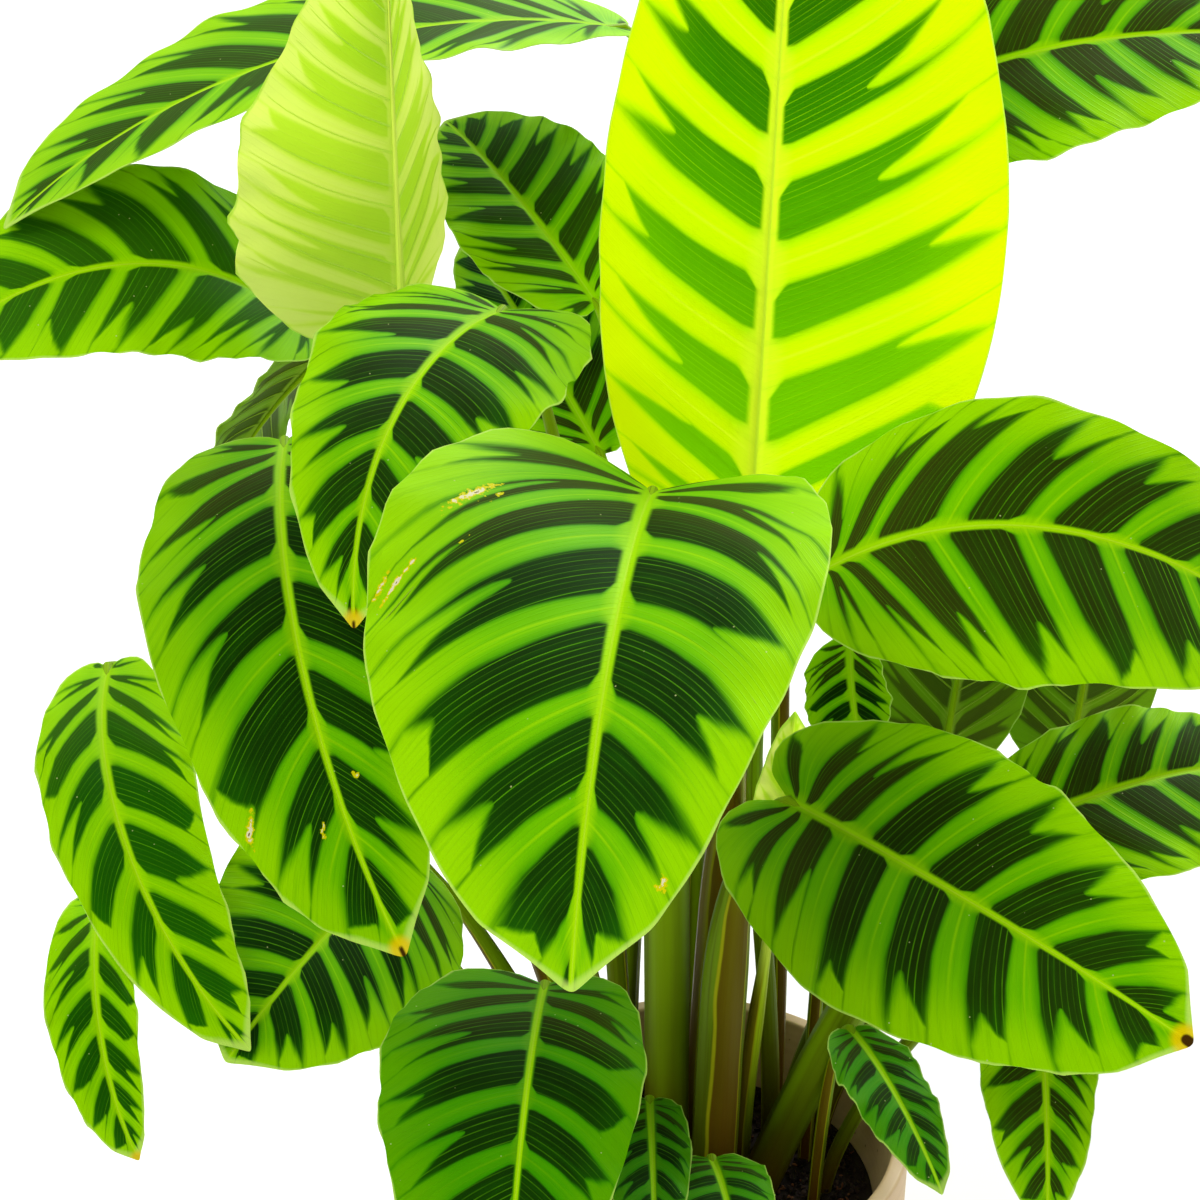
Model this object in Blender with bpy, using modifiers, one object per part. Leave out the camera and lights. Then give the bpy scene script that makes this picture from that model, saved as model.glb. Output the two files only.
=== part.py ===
"""A potted calathea with zebra-striped leaves, in metres, +Z up.

The origin is the centre of the pot's flat underside. Each leaf is one node: its stalk, which stands in a
plain hole in the soil, runs up and into the midrib of its blade. A blade is a thin shell over a surface
that follows the midrib: veins leave the midrib at an angle, and each half folds up from it and then curls
down to a gently waved margin.
"""
import math
from dataclasses import dataclass

import bmesh
import bpy
import numpy as np
from mathutils import Vector

MM = 0.001

# Pot, a tapered body under an upright rim band
POT_HEIGHT = 0.170
RIM_RADIUS = 0.100
RIM_WALL = 0.0075
BAND_HEIGHT = 0.041
BAND_STEP = 0.0035
POT_FOOT_RADIUS = 0.072
POT_FLOOR = 0.007
POT_WALL = 0.0065
POT_EDGE = 0.0015
POT_SIDES = 40

# Soil, filled to below the rim
SOIL_LEVEL = 0.130
SOIL_CROWN = 0.002
SOIL_CHAMFER = 0.003
STALK_DEPTH = 0.025
CLEARANCE = 0.0003

# Leaves
BLADE_THICKNESS = 0.0008
BLADE_ROWS = 12
BLADE_COLUMNS = 6
SMALL_BLADE = 0.060
SMALL_ROWS = 9
SMALL_COLUMNS = 4
STALK_STEPS = 7
SHEATH_END = 0.4
THINNING = 0.5
MIDRIB_END = 0.34
MIDRIB_STEPS = 2
NECK_DIAMETER = 0.0045
RIB_DIAMETER = 0.0016

LEAF_ROUGHNESS = 0.5
TONES = {
    "mature": (0.055, 0.17, 0.012),
    "young": (0.36, 0.72, 0.01),
    "pale": (0.60, 0.80, 0.10),
}


@dataclass(frozen=True)
class Leaf:
    """One leaf: lengths in millimetres, angles in degrees, the rest as shares."""

    name: str
    foot: tuple             # where the stalk leaves the soil
    base: tuple             # where the blade begins
    tip: tuple              # where the blade ends
    width: float            # across the blade at its widest
    arch: tuple = (0.20, 0.20)   # bow of the midrib off its chord, near the base and near the tip
    sway: tuple = (0.0, 0.0)     # sideways bow of the midrib, at the same two places
    roll: float = 0.0       # turn of the blade about its chord, from its upper face straight up
    twist: float = 0.0      # further turn from base to tip
    fold: tuple = (15, 4)   # rise of each half off the midrib, at the base and at the tip
    curl: float = 14.0      # droop of each half from the midrib to the margin
    wave: float = 2.0       # height of the margin's waves
    uneven: float = 0.12    # how much wider one half is than the other
    taper: float = 0.5      # how much the blade narrows towards its tip
    lobe: float = 0.05      # how far the base lobes reach behind the blade's base
    girth: float = 9.0      # stalk's diameter at the soil
    lean: float = 0.3       # how far the stalk leans outwards as it leaves the soil
    tone: str = "mature"


LEAVES = (
    Leaf("leaf_front", (-16, 0), (-28, -55, 517), (-57, -268, 440), 167, arch=(0.22, 0.20),
         sway=(-0.03, -0.01), roll=5, twist=-31, fold=(24, 5), uneven=0.10, taper=0.55, girth=21),
    Leaf("leaf_upright_bright", (3, 15), (18, 48, 434), (37, 157, 771), 184, arch=(-0.03, 0.02),
         fold=(12, 4), curl=4, uneven=0.16, taper=0.3, girth=20, tone="young"),
    Leaf("leaf_pale_new", (-38, 18), (-135, 52, 548), (-133, 48, 714), 148, arch=(0, 0), roll=28,
         fold=(22, 30), curl=4, uneven=0.0, taper=0.9, tone="pale"),
    Leaf("leaf_mid_left", (-34, -6), (-90, 56, 557), (-140, -101, 483), 109, arch=(0.20, 0.25),
         sway=(0.04, 0.10), roll=-8, uneven=-0.12, taper=0.9, girth=10),
    Leaf("leaf_left", (-50, 4), (-187, 55, 498), (-122, -155, 375), 109, sway=(0.05, 0.08), roll=10,
         uneven=0.08, taper=0.4, girth=10),
    Leaf("leaf_low_left", (-64, -8), (-265, 15, 407), (-190, -120, 304), 64, sway=(0.13, 0.15), roll=10,
         uneven=-0.10),
    Leaf("leaf_hanging_left", (-66, 18), (-286, 31, 276), (-261, -44, 184), 42, sway=(0.10, 0.10),
         girth=7),
    Leaf("leaf_under_left", (-48, -20), (-136, 15, 310), (-197, -122, 300), 120, arch=(0.10, 0.10),
         sway=(0.05, 0.05), roll=-45, uneven=0.0),
    Leaf("leaf_bottom", (-30, -40), (-72, -61, 292), (-83, -214, 246), 110, fold=(18, 4)),
    Leaf("leaf_right_low", (5, -18), (32, -37, 369), (166, -177, 350), 127, arch=(0.08, 0.10), roll=38,
         fold=(20, 4), uneven=0.06, lobe=0.24, girth=21),
    Leaf("leaf_right_mid", (36, 20), (43, 4, 456), (241, -19, 436), 127, arch=(0.32, 0.28),
         sway=(-0.16, -0.08), roll=48),
    Leaf("leaf_far_right", (30, 0), (125, -1, 328), (269, 63, 323), 85, arch=(0.25, 0.30), roll=35,
         girth=19, lean=0.75),
    Leaf("leaf_pot_right", (54, -20), (67, -20, 238), (95, -114, 225), 40, arch=(0.10, 0.10), girth=6),
    Leaf("leaf_hanging_right", (62, -2), (148, -23, 279), (148, -89, 187), 54, arch=(0.10, 0.10), girth=7),
    Leaf("leaf_upper_left", (-52, 30), (-180, 111, 530), (-336, 52, 540), 98, arch=(0.28, 0.28),
         sway=(0.18, 0.12), roll=-45, uneven=0.0),
    Leaf("leaf_top_left", (14, 32), (-37, 198, 653), (-301, 72, 591), 127, arch=(0.12, 0.13),
         sway=(0.08, 0.06), roll=-8, fold=(6, 4), curl=6),
    Leaf("leaf_upper_mid", (-36, 36), (-49, 128, 538), (-125, 234, 602), 90, arch=(0.10, 0.10), roll=-25),
    Leaf("leaf_top_right", (38, 34), (94, 186, 619), (274, 168, 655), 120, arch=(0.20, 0.10), roll=38,
         taper=1.0),
    Leaf("leaf_behind", (-18, 33), (-48, 137, 461), (-117, 239, 541), 70, arch=(0.10, 0.10), roll=-25),
    Leaf("leaf_left_back", (-46, 48), (-172, 161, 514), (-253, 148, 402), 64, arch=(0.12, 0.10), roll=36),
    Leaf("leaf_small_dark", (54, 20), (68, 64, 397), (77, 36, 337), 45, arch=(0.12, 0.10), roll=50,
         girth=7),
    Leaf("leaf_back_right", (46, 42), (118, 75, 324), (152, 168, 457), 85, arch=(0, 0), roll=180),
    Leaf("leaf_back_far_right", (62, 34), (186, 100, 307), (220, 188, 428), 85, arch=(0, 0), roll=180),
    Leaf("leaf_rolled_young", (22, 16), (30, -5, 303), (38, 10, 386), 40, arch=(0, 0), roll=20,
         fold=(40, 40), girth=8, tone="young"),
    Leaf("leaf_pot_front", (-10, -50), (-26, -49, 221), (-26, -158, 224), 40, arch=(0.10, 0.10), girth=6),
    Leaf("leaf_pot_mid", (8, -52), (2, -60, 197), (10, -161, 216), 50, arch=(0.10, 0.10), girth=6),
    Leaf("leaf_back_tall", (-2, 38), (2, 150, 450), (10, 345, 560), 90, arch=(0.10, 0.10)),
    Leaf("leaf_back_low", (12, 60), (30, 112, 290), (50, 212, 140), 92),
    Leaf("leaf_back_left", (-34, 56), (-48, 118, 385), (-128, 215, 225), 96),
)


def unit(vectors: np.ndarray) -> np.ndarray:
    """Each vector at length one."""
    return vectors / np.linalg.norm(vectors, axis=-1, keepdims=True)


def bezier(points: list, share: np.ndarray) -> np.ndarray:
    """Points of a cubic curve at the given shares."""
    u = share[:, None]
    v = 1 - u
    return v**3 * points[0] + 3 * v * v * u * points[1] + 3 * v * u * u * points[2] + u**3 * points[3]


def midrib(leaf: Leaf, share: np.ndarray) -> tuple:
    """Points along the midrib, with its direction, the blade's side direction and its upper normal."""
    base = np.array(leaf.base) * MM
    chord = np.array(leaf.tip) * MM - base
    reach = float(np.linalg.norm(chord))
    along = chord / reach
    up = unit(np.array((0.0, 0.0, 1.0)) - along[2] * along)
    side = np.cross(along, up)
    roll = math.radians(leaf.roll)
    up, side = up * math.cos(roll) + side * math.sin(roll), side * math.cos(roll) - up * math.sin(roll)
    corners = [
        base,
        base + reach * (0.3 * along + leaf.arch[0] * up + leaf.sway[0] * side),
        base + reach * (0.72 * along + leaf.arch[1] * up + leaf.sway[1] * side),
        base + chord,
    ]
    fine = np.linspace(0, 1, 161)
    path = bezier(corners, fine)
    steps = np.linalg.norm(np.diff(path, axis=0), axis=1)
    travelled = np.concatenate(([0.0], np.cumsum(steps)))
    length = travelled[-1]
    slopes = unit(np.gradient(path, axis=0))
    at = share * length
    point = np.stack([np.interp(at, travelled, path[:, axis]) for axis in range(3)], axis=-1)
    tangent = unit(np.stack([np.interp(at, travelled, slopes[:, axis]) for axis in range(3)], axis=-1))
    level = unit(side - (tangent @ side)[:, None] * tangent)
    normal = np.cross(level, tangent)
    twist = np.radians(leaf.twist) * (share - 0.4)[:, None]
    level = level * np.cos(twist) + normal * np.sin(twist)
    return point, tangent, level, np.cross(level, tangent), length


def blade_points(leaf: Leaf, phase: float, along: np.ndarray, across: np.ndarray) -> np.ndarray:
    """Points of the blade: along runs 0 to 1 from base to tip, across runs -1 to 1 from margin to margin."""
    angle = math.pi * along**0.82
    reach = (1 - np.cos(angle)) / 2
    breadth = np.sin(angle) * (1 + leaf.taper * (0.5 - reach)) / (1 + 0.13 * leaf.taper)
    breadth = breadth * (1 - 0.3 * np.clip((reach - 0.9) / 0.1, 0, 1))
    out = np.abs(across)
    hand = np.sign(across)
    vein_end = (reach - along) * (0.75 * out + 0.25 * out**3)
    lobe = leaf.lobe * np.sin(math.pi * out / 2)**2 * np.exp(-(along / 0.14)**2) * np.sqrt(np.abs(breadth))
    run = along + vein_end - lobe
    on_rib = np.clip(run, 0, 1)
    point, tangent, level, normal, length = midrib(leaf, on_rib)
    half = leaf.width / 2 * MM * (1 + leaf.uneven * hand)
    share = breadth * out
    fold = np.radians(leaf.fold[0] + (leaf.fold[1] - leaf.fold[0]) * on_rib)
    curl = math.radians(leaf.curl)
    sideways = half * (np.sin(fold) - np.sin(fold - curl * share)) / curl
    lift = half * (np.cos(fold - curl * share) - np.cos(fold)) / curl
    lift = lift + leaf.wave * MM * share**2 * np.sin(2 * math.pi * (3 * run + phase + 0.37 * (hand > 0)))
    return (point + tangent * ((run - on_rib) * length)[:, None]
            + level * (hand * sideways)[:, None] + normal * lift[:, None])


def stalk_path(leaf: Leaf, steps: int) -> np.ndarray:
    """Points of the stalk from the soil to the blade."""
    foot = np.array((leaf.foot[0] * MM, leaf.foot[1] * MM, SOIL_LEVEL + SOIL_CROWN))
    point, tangent, _, _, _ = midrib(leaf, np.array([0.0]))
    base = point[0]
    rise = base - foot
    height = float(np.linalg.norm(rise))
    outwards = np.array((rise[0], rise[1], 0.0)) / height
    start = unit(np.array((0.0, 0.0, 1.0)) + leaf.lean * outwards)
    arrival = tangent[0] * 0.2 * height + np.array((0.0, 0.0, 0.1 * height))
    return bezier([foot, foot + 0.45 * height * start, base - arrival, base], np.linspace(0, 1, steps + 1))


def new_collection(name: str) -> bpy.types.Collection:
    """An empty collection in the scene."""
    collection = bpy.data.collections.new(name)
    bpy.context.scene.collection.children.link(collection)
    return collection


def new_material(name: str, colour: tuple, roughness: float) -> bpy.types.Material:
    """A plain Principled material."""
    material = bpy.data.materials.new(name)
    material.use_nodes = True
    shader = material.node_tree.nodes["Principled BSDF"]
    shader.inputs["Base Color"].default_value = (*colour, 1.0)
    shader.inputs["Roughness"].default_value = roughness
    shader.inputs["Metallic"].default_value = 0.0
    return material


def mark_as_tool(item: bpy.types.Object) -> None:
    """Show an object as a wire and keep it out of the model."""
    item.hide_render = True
    item.display_type = 'WIRE'


def turned(name: str, profile: list, collection: bpy.types.Collection) -> bpy.types.Object:
    """A solid of revolution about Z, from a profile at +X that runs down its outer side."""
    mesh = bpy.data.meshes.new(name)
    edges = [(i, i + 1) for i in range(len(profile) - 1)]
    mesh.from_pydata([(radius, 0.0, height) for radius, height in profile], edges, [])
    item = bpy.data.objects.new(name, mesh)
    collection.objects.link(item)
    screw = item.modifiers.new("turn", 'SCREW')
    screw.axis = 'Z'
    screw.steps = POT_SIDES
    screw.render_steps = POT_SIDES
    screw.use_merge_vertices = True
    screw.merge_threshold = 0.0001
    return item


def inner_radius(height: float) -> float:
    """Radius of the pot's inner wall at a height above its underside."""
    foot = POT_FOOT_RADIUS - POT_WALL
    top = RIM_RADIUS - RIM_WALL
    return foot + (top - foot) * (height - POT_FLOOR) / (POT_HEIGHT - POT_FLOOR)


def build_pot(collection: bpy.types.Collection) -> bpy.types.Object:
    """The pot: floor, tapered wall and upright rim band, with its edges eased."""
    band_foot = POT_HEIGHT - BAND_HEIGHT
    body_top = RIM_RADIUS - BAND_STEP
    profile = [
        (0.0, POT_FLOOR),
        (inner_radius(POT_FLOOR), POT_FLOOR),
        (inner_radius(POT_HEIGHT), POT_HEIGHT),
        (RIM_RADIUS, POT_HEIGHT),
        (RIM_RADIUS, band_foot),
        (body_top, band_foot - BAND_STEP),
        (POT_FOOT_RADIUS, 0.0),
        (0.0, 0.0),
    ]
    pot = turned("pot", profile, collection)
    ease = pot.modifiers.new("ease", 'BEVEL')
    ease.width = POT_EDGE
    ease.segments = 1
    ease.limit_method = 'ANGLE'
    ease.angle_limit = math.radians(40)
    pot.data.materials.append(new_material("pot_glaze", (0.52, 0.36, 0.16), 0.45))
    return pot


def build_soil(collection: bpy.types.Collection, tools: bpy.types.Collection) -> bpy.types.Object:
    """The soil, slightly crowned, with a plain hole for each stalk."""
    bottom = POT_FLOOR + CLEARANCE
    profile = [
        (0.0, SOIL_LEVEL + SOIL_CROWN),
        (0.75 * inner_radius(SOIL_LEVEL), SOIL_LEVEL + SOIL_CROWN),
        (inner_radius(SOIL_LEVEL) - 2 * CLEARANCE, SOIL_LEVEL),
        (inner_radius(bottom + SOIL_CHAMFER) - 2 * CLEARANCE, bottom + SOIL_CHAMFER),
        (inner_radius(bottom) - SOIL_CHAMFER, bottom),
        (0.0, bottom),
    ]
    soil = turned("potting_soil", profile, collection)
    soil.data.materials.append(new_material("soil", (0.012, 0.008, 0.005), 0.95))
    for leaf in LEAVES:
        add_hole(leaf, tools)
    holes = soil.modifiers.new("stalk_holes", 'BOOLEAN')
    holes.operation = 'DIFFERENCE'
    holes.operand_type = 'COLLECTION'
    holes.collection = tools
    return soil


def add_hole(leaf: Leaf, tools: bpy.types.Collection) -> None:
    """A cutter for the hole that one stalk stands in, wide enough that its flats clear the stalk."""
    sides = 8
    radius = (leaf.girth / 2 * MM + CLEARANCE) / math.cos(math.pi / sides)
    top = SOIL_LEVEL + 2 * SOIL_CROWN
    bottom = SOIL_LEVEL - STALK_DEPTH - CLEARANCE
    shape = bmesh.new()
    bmesh.ops.create_cone(shape, cap_ends=True, segments=sides, radius1=radius, radius2=radius,
                          depth=top - bottom)
    mesh = bpy.data.meshes.new(f"hole_{leaf.name}")
    shape.to_mesh(mesh)
    shape.free()
    hole = bpy.data.objects.new(f"hole_{leaf.name}", mesh)
    hole.location = (leaf.foot[0] * MM, leaf.foot[1] * MM, (top + bottom) / 2)
    tools.objects.link(hole)
    mark_as_tool(hole)


def build_stalk(leaf: Leaf, tools: bpy.types.Collection) -> bpy.types.Object:
    """The stalk and the thick part of the midrib, as one tapered tube made into a mesh."""
    rising = stalk_path(leaf, STALK_STEPS)
    along = np.linspace(0, MIDRIB_END, MIDRIB_STEPS + 1)[1:]
    rib, _, _, normal, _ = midrib(leaf, along)
    rib = rib - normal * RIB_DIAMETER * 0.4
    buried = rising[:1] - np.array((0.0, 0.0, STALK_DEPTH + SOIL_CROWN))
    path = np.concatenate((buried, rising, rib))
    girth = leaf.girth * MM
    neck = min(NECK_DIAMETER, girth)
    thinning = np.clip((np.linspace(0, 1, STALK_STEPS + 1) - SHEATH_END) / THINNING, 0, 1)
    thinning = thinning**2 * (3 - 2 * thinning)
    stalk_width = girth + (neck - girth) * thinning
    rib_width = neck + (RIB_DIAMETER - neck) * along / MIDRIB_END
    widths = np.concatenate(((girth,), stalk_width, rib_width))
    curve = bpy.data.curves.new(f"stalk_{leaf.name}", 'CURVE')
    curve.dimensions = '3D'
    curve.bevel_depth = 0.5
    curve.bevel_resolution = 1
    curve.use_fill_caps = True
    spline = curve.splines.new('POLY')
    spline.points.add(len(path) - 1)
    for point, place, width in zip(spline.points, path, widths):
        point.co = (*place, 1.0)
        point.radius = float(width)
    tube = bpy.data.objects.new(f"tube_{leaf.name}", curve)
    tools.objects.link(tube)
    bpy.context.view_layer.update()
    evaluated = tube.evaluated_get(bpy.context.evaluated_depsgraph_get())
    mesh = bpy.data.meshes.new_from_object(evaluated)
    shape = bmesh.new()
    shape.from_mesh(mesh)
    bmesh.ops.remove_doubles(shape, verts=shape.verts, dist=0.00001)
    shape.to_mesh(mesh)
    shape.free()
    mesh.materials.clear()
    stalk = bpy.data.objects.new(f"stalk_{leaf.name}", mesh)
    stalk.matrix_world = tube.matrix_world
    tools.objects.link(stalk)
    bpy.data.objects.remove(tube)
    mark_as_tool(stalk)
    return stalk


def build_leaf(leaf: Leaf, phase: float, collection: bpy.types.Collection,
               tools: bpy.types.Collection) -> bpy.types.Object:
    """One leaf: a thin blade with the stalk joined to it."""
    small = leaf.width * MM < SMALL_BLADE
    rows = SMALL_ROWS if small else BLADE_ROWS
    columns = SMALL_COLUMNS if small else BLADE_COLUMNS
    shape = bmesh.new()
    bmesh.ops.create_grid(shape, x_segments=rows, y_segments=columns, size=0.5)
    grid = np.array([vertex.co[:] for vertex in shape.verts])
    places = blade_points(leaf, phase, np.clip(grid[:, 0] + 0.5, 0, 1), np.clip(-2 * grid[:, 1], -1, 1))
    for vertex, place in zip(shape.verts, places):
        vertex.co = Vector(place)
    bmesh.ops.remove_doubles(shape, verts=shape.verts, dist=0.00002)
    bmesh.ops.triangulate(shape, faces=shape.faces, quad_method='SHORT_EDGE')
    mesh = bpy.data.meshes.new(leaf.name)
    shape.to_mesh(mesh)
    shape.free()
    blade = bpy.data.objects.new(leaf.name, mesh)
    collection.objects.link(blade)
    mesh.materials.append(new_material(leaf.name, TONES[leaf.tone], LEAF_ROUGHNESS))
    shell = blade.modifiers.new("thickness", 'SOLIDIFY')
    shell.thickness = BLADE_THICKNESS
    shell.offset = -1.0
    join = blade.modifiers.new("stalk", 'BOOLEAN')
    join.operation = 'UNION'
    join.object = build_stalk(leaf, tools)
    return blade


def main() -> None:
    """Clear the scene and build the pot, the soil and the leaves."""
    for item in list(bpy.data.objects):
        bpy.data.objects.remove(item)
    plant = new_collection("potted_calathea")
    holes = new_collection("soil_cutters")
    stalks = new_collection("stalk_tools")
    build_pot(plant)
    build_soil(plant, holes)
    golden_share = 0.618
    for index, leaf in enumerate(LEAVES):
        build_leaf(leaf, index * golden_share % 1.0, plant, stalks)


main()
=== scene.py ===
"""The looks of a potted zebra-striped calathea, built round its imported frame.

Metres, +Z up, with the origin at the centre of the pot's flat underside. Leaf sizes are in millimetres and
degrees. The classes follow the plant: its finishes, leaves, pot and soil, and then a studio round it.
"""
import logging
import math
from dataclasses import dataclass, field
from enum import Enum

import bpy
import numpy as np
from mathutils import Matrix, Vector


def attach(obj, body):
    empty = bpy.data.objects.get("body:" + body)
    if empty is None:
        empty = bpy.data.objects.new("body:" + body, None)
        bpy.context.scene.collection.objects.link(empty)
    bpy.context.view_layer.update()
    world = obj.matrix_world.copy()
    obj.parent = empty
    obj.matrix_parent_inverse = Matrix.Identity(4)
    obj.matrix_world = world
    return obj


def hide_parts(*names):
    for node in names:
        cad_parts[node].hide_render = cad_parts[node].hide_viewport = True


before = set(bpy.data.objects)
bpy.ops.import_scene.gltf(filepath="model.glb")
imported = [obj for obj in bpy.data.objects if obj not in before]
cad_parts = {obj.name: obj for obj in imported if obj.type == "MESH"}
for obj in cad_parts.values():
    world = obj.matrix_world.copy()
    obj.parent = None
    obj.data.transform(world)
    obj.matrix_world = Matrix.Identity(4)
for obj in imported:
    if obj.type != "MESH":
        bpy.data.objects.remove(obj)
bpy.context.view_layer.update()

ROOT = "root"
MM = 0.001
TURN = 2 * math.pi
UP = np.array((0.0, 0.0, 1.0))
GOLDEN_SHARE = 0.618
FINE_STEPS = 400

log = logging.getLogger("calathea")


def tint(red: int, green: int, blue: int) -> tuple:
    """A display colour, 0 to 255 in each channel, as a linear colour with alpha."""
    return (*(((value / 255 + 0.055) / 1.055) ** 2.4 if value > 10 else value / 255 / 12.92
              for value in (red, green, blue)), 1.0)


def unit(vectors: np.ndarray) -> np.ndarray:
    """Each vector at length one."""
    return vectors / np.maximum(np.linalg.norm(vectors, axis=-1, keepdims=True), 1e-12)


def bell(offset: np.ndarray) -> np.ndarray:
    """1 at 0, falling to nothing on both sides."""
    return np.exp(-offset**2)


def bezier(points: list, share: np.ndarray) -> np.ndarray:
    """Points of a cubic curve.

    Args:
        points: Its four control points.
        share: Where to read it, 0 to 1.

    Returns:
        One point for each share.
    """
    u = share[:, None]
    v = 1 - u
    return v**3 * points[0] + 3 * v * v * u * points[1] + 3 * v * u * u * points[2] + u**3 * points[3]


class Tone(Enum):
    """How old a leaf is, which sets its colours."""

    MATURE = "mature"
    YOUNG = "young"
    PALE = "pale"


@dataclass(frozen=True)
class LeafForm:
    """One leaf's form: lengths in millimetres, angles in degrees, the rest as shares."""

    name: str
    foot: tuple
    base: tuple
    tip: tuple
    width: float
    arch: tuple = (0.20, 0.20)
    sway: tuple = (0.0, 0.0)
    roll: float = 0.0
    twist: float = 0.0
    fold: tuple = (15, 4)
    curl: float = 14.0
    wave: float = 2.0
    uneven: float = 0.12
    taper: float = 0.5
    lobe: float = 0.05
    girth: float = 9.0
    lean: float = 0.3
    tone: Tone = Tone.MATURE
    pairs: float = 6.0
    burn: float = 0.0
    scorch: tuple = (0.0, 0.5, 0.1)
    ruffle: float = 0.05
    rib: float = 3.2
    shift: float = 0.0
    sweep: float = 0.32
    # The share by which all bands take the grey olive of "Dark at base": painted sheen of light grazing the
    # velvet.
    olive_and_painted_sheen: float = 0.1
    # Above 0 the greens pale; below 0 painted shade dulls the light green of a leaf that lies in the shade
    # of others.
    paler_and_painted_shade: float = 0.0
    scars: tuple = ()

    def reach(self) -> float:
        """The straight distance from the blade's base to its tip, in metres."""
        return math.dist(self.base, self.tip) * MM


# A negative paler_and_painted_shade paints the shade that the lower and inner leaves lie in.
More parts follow.
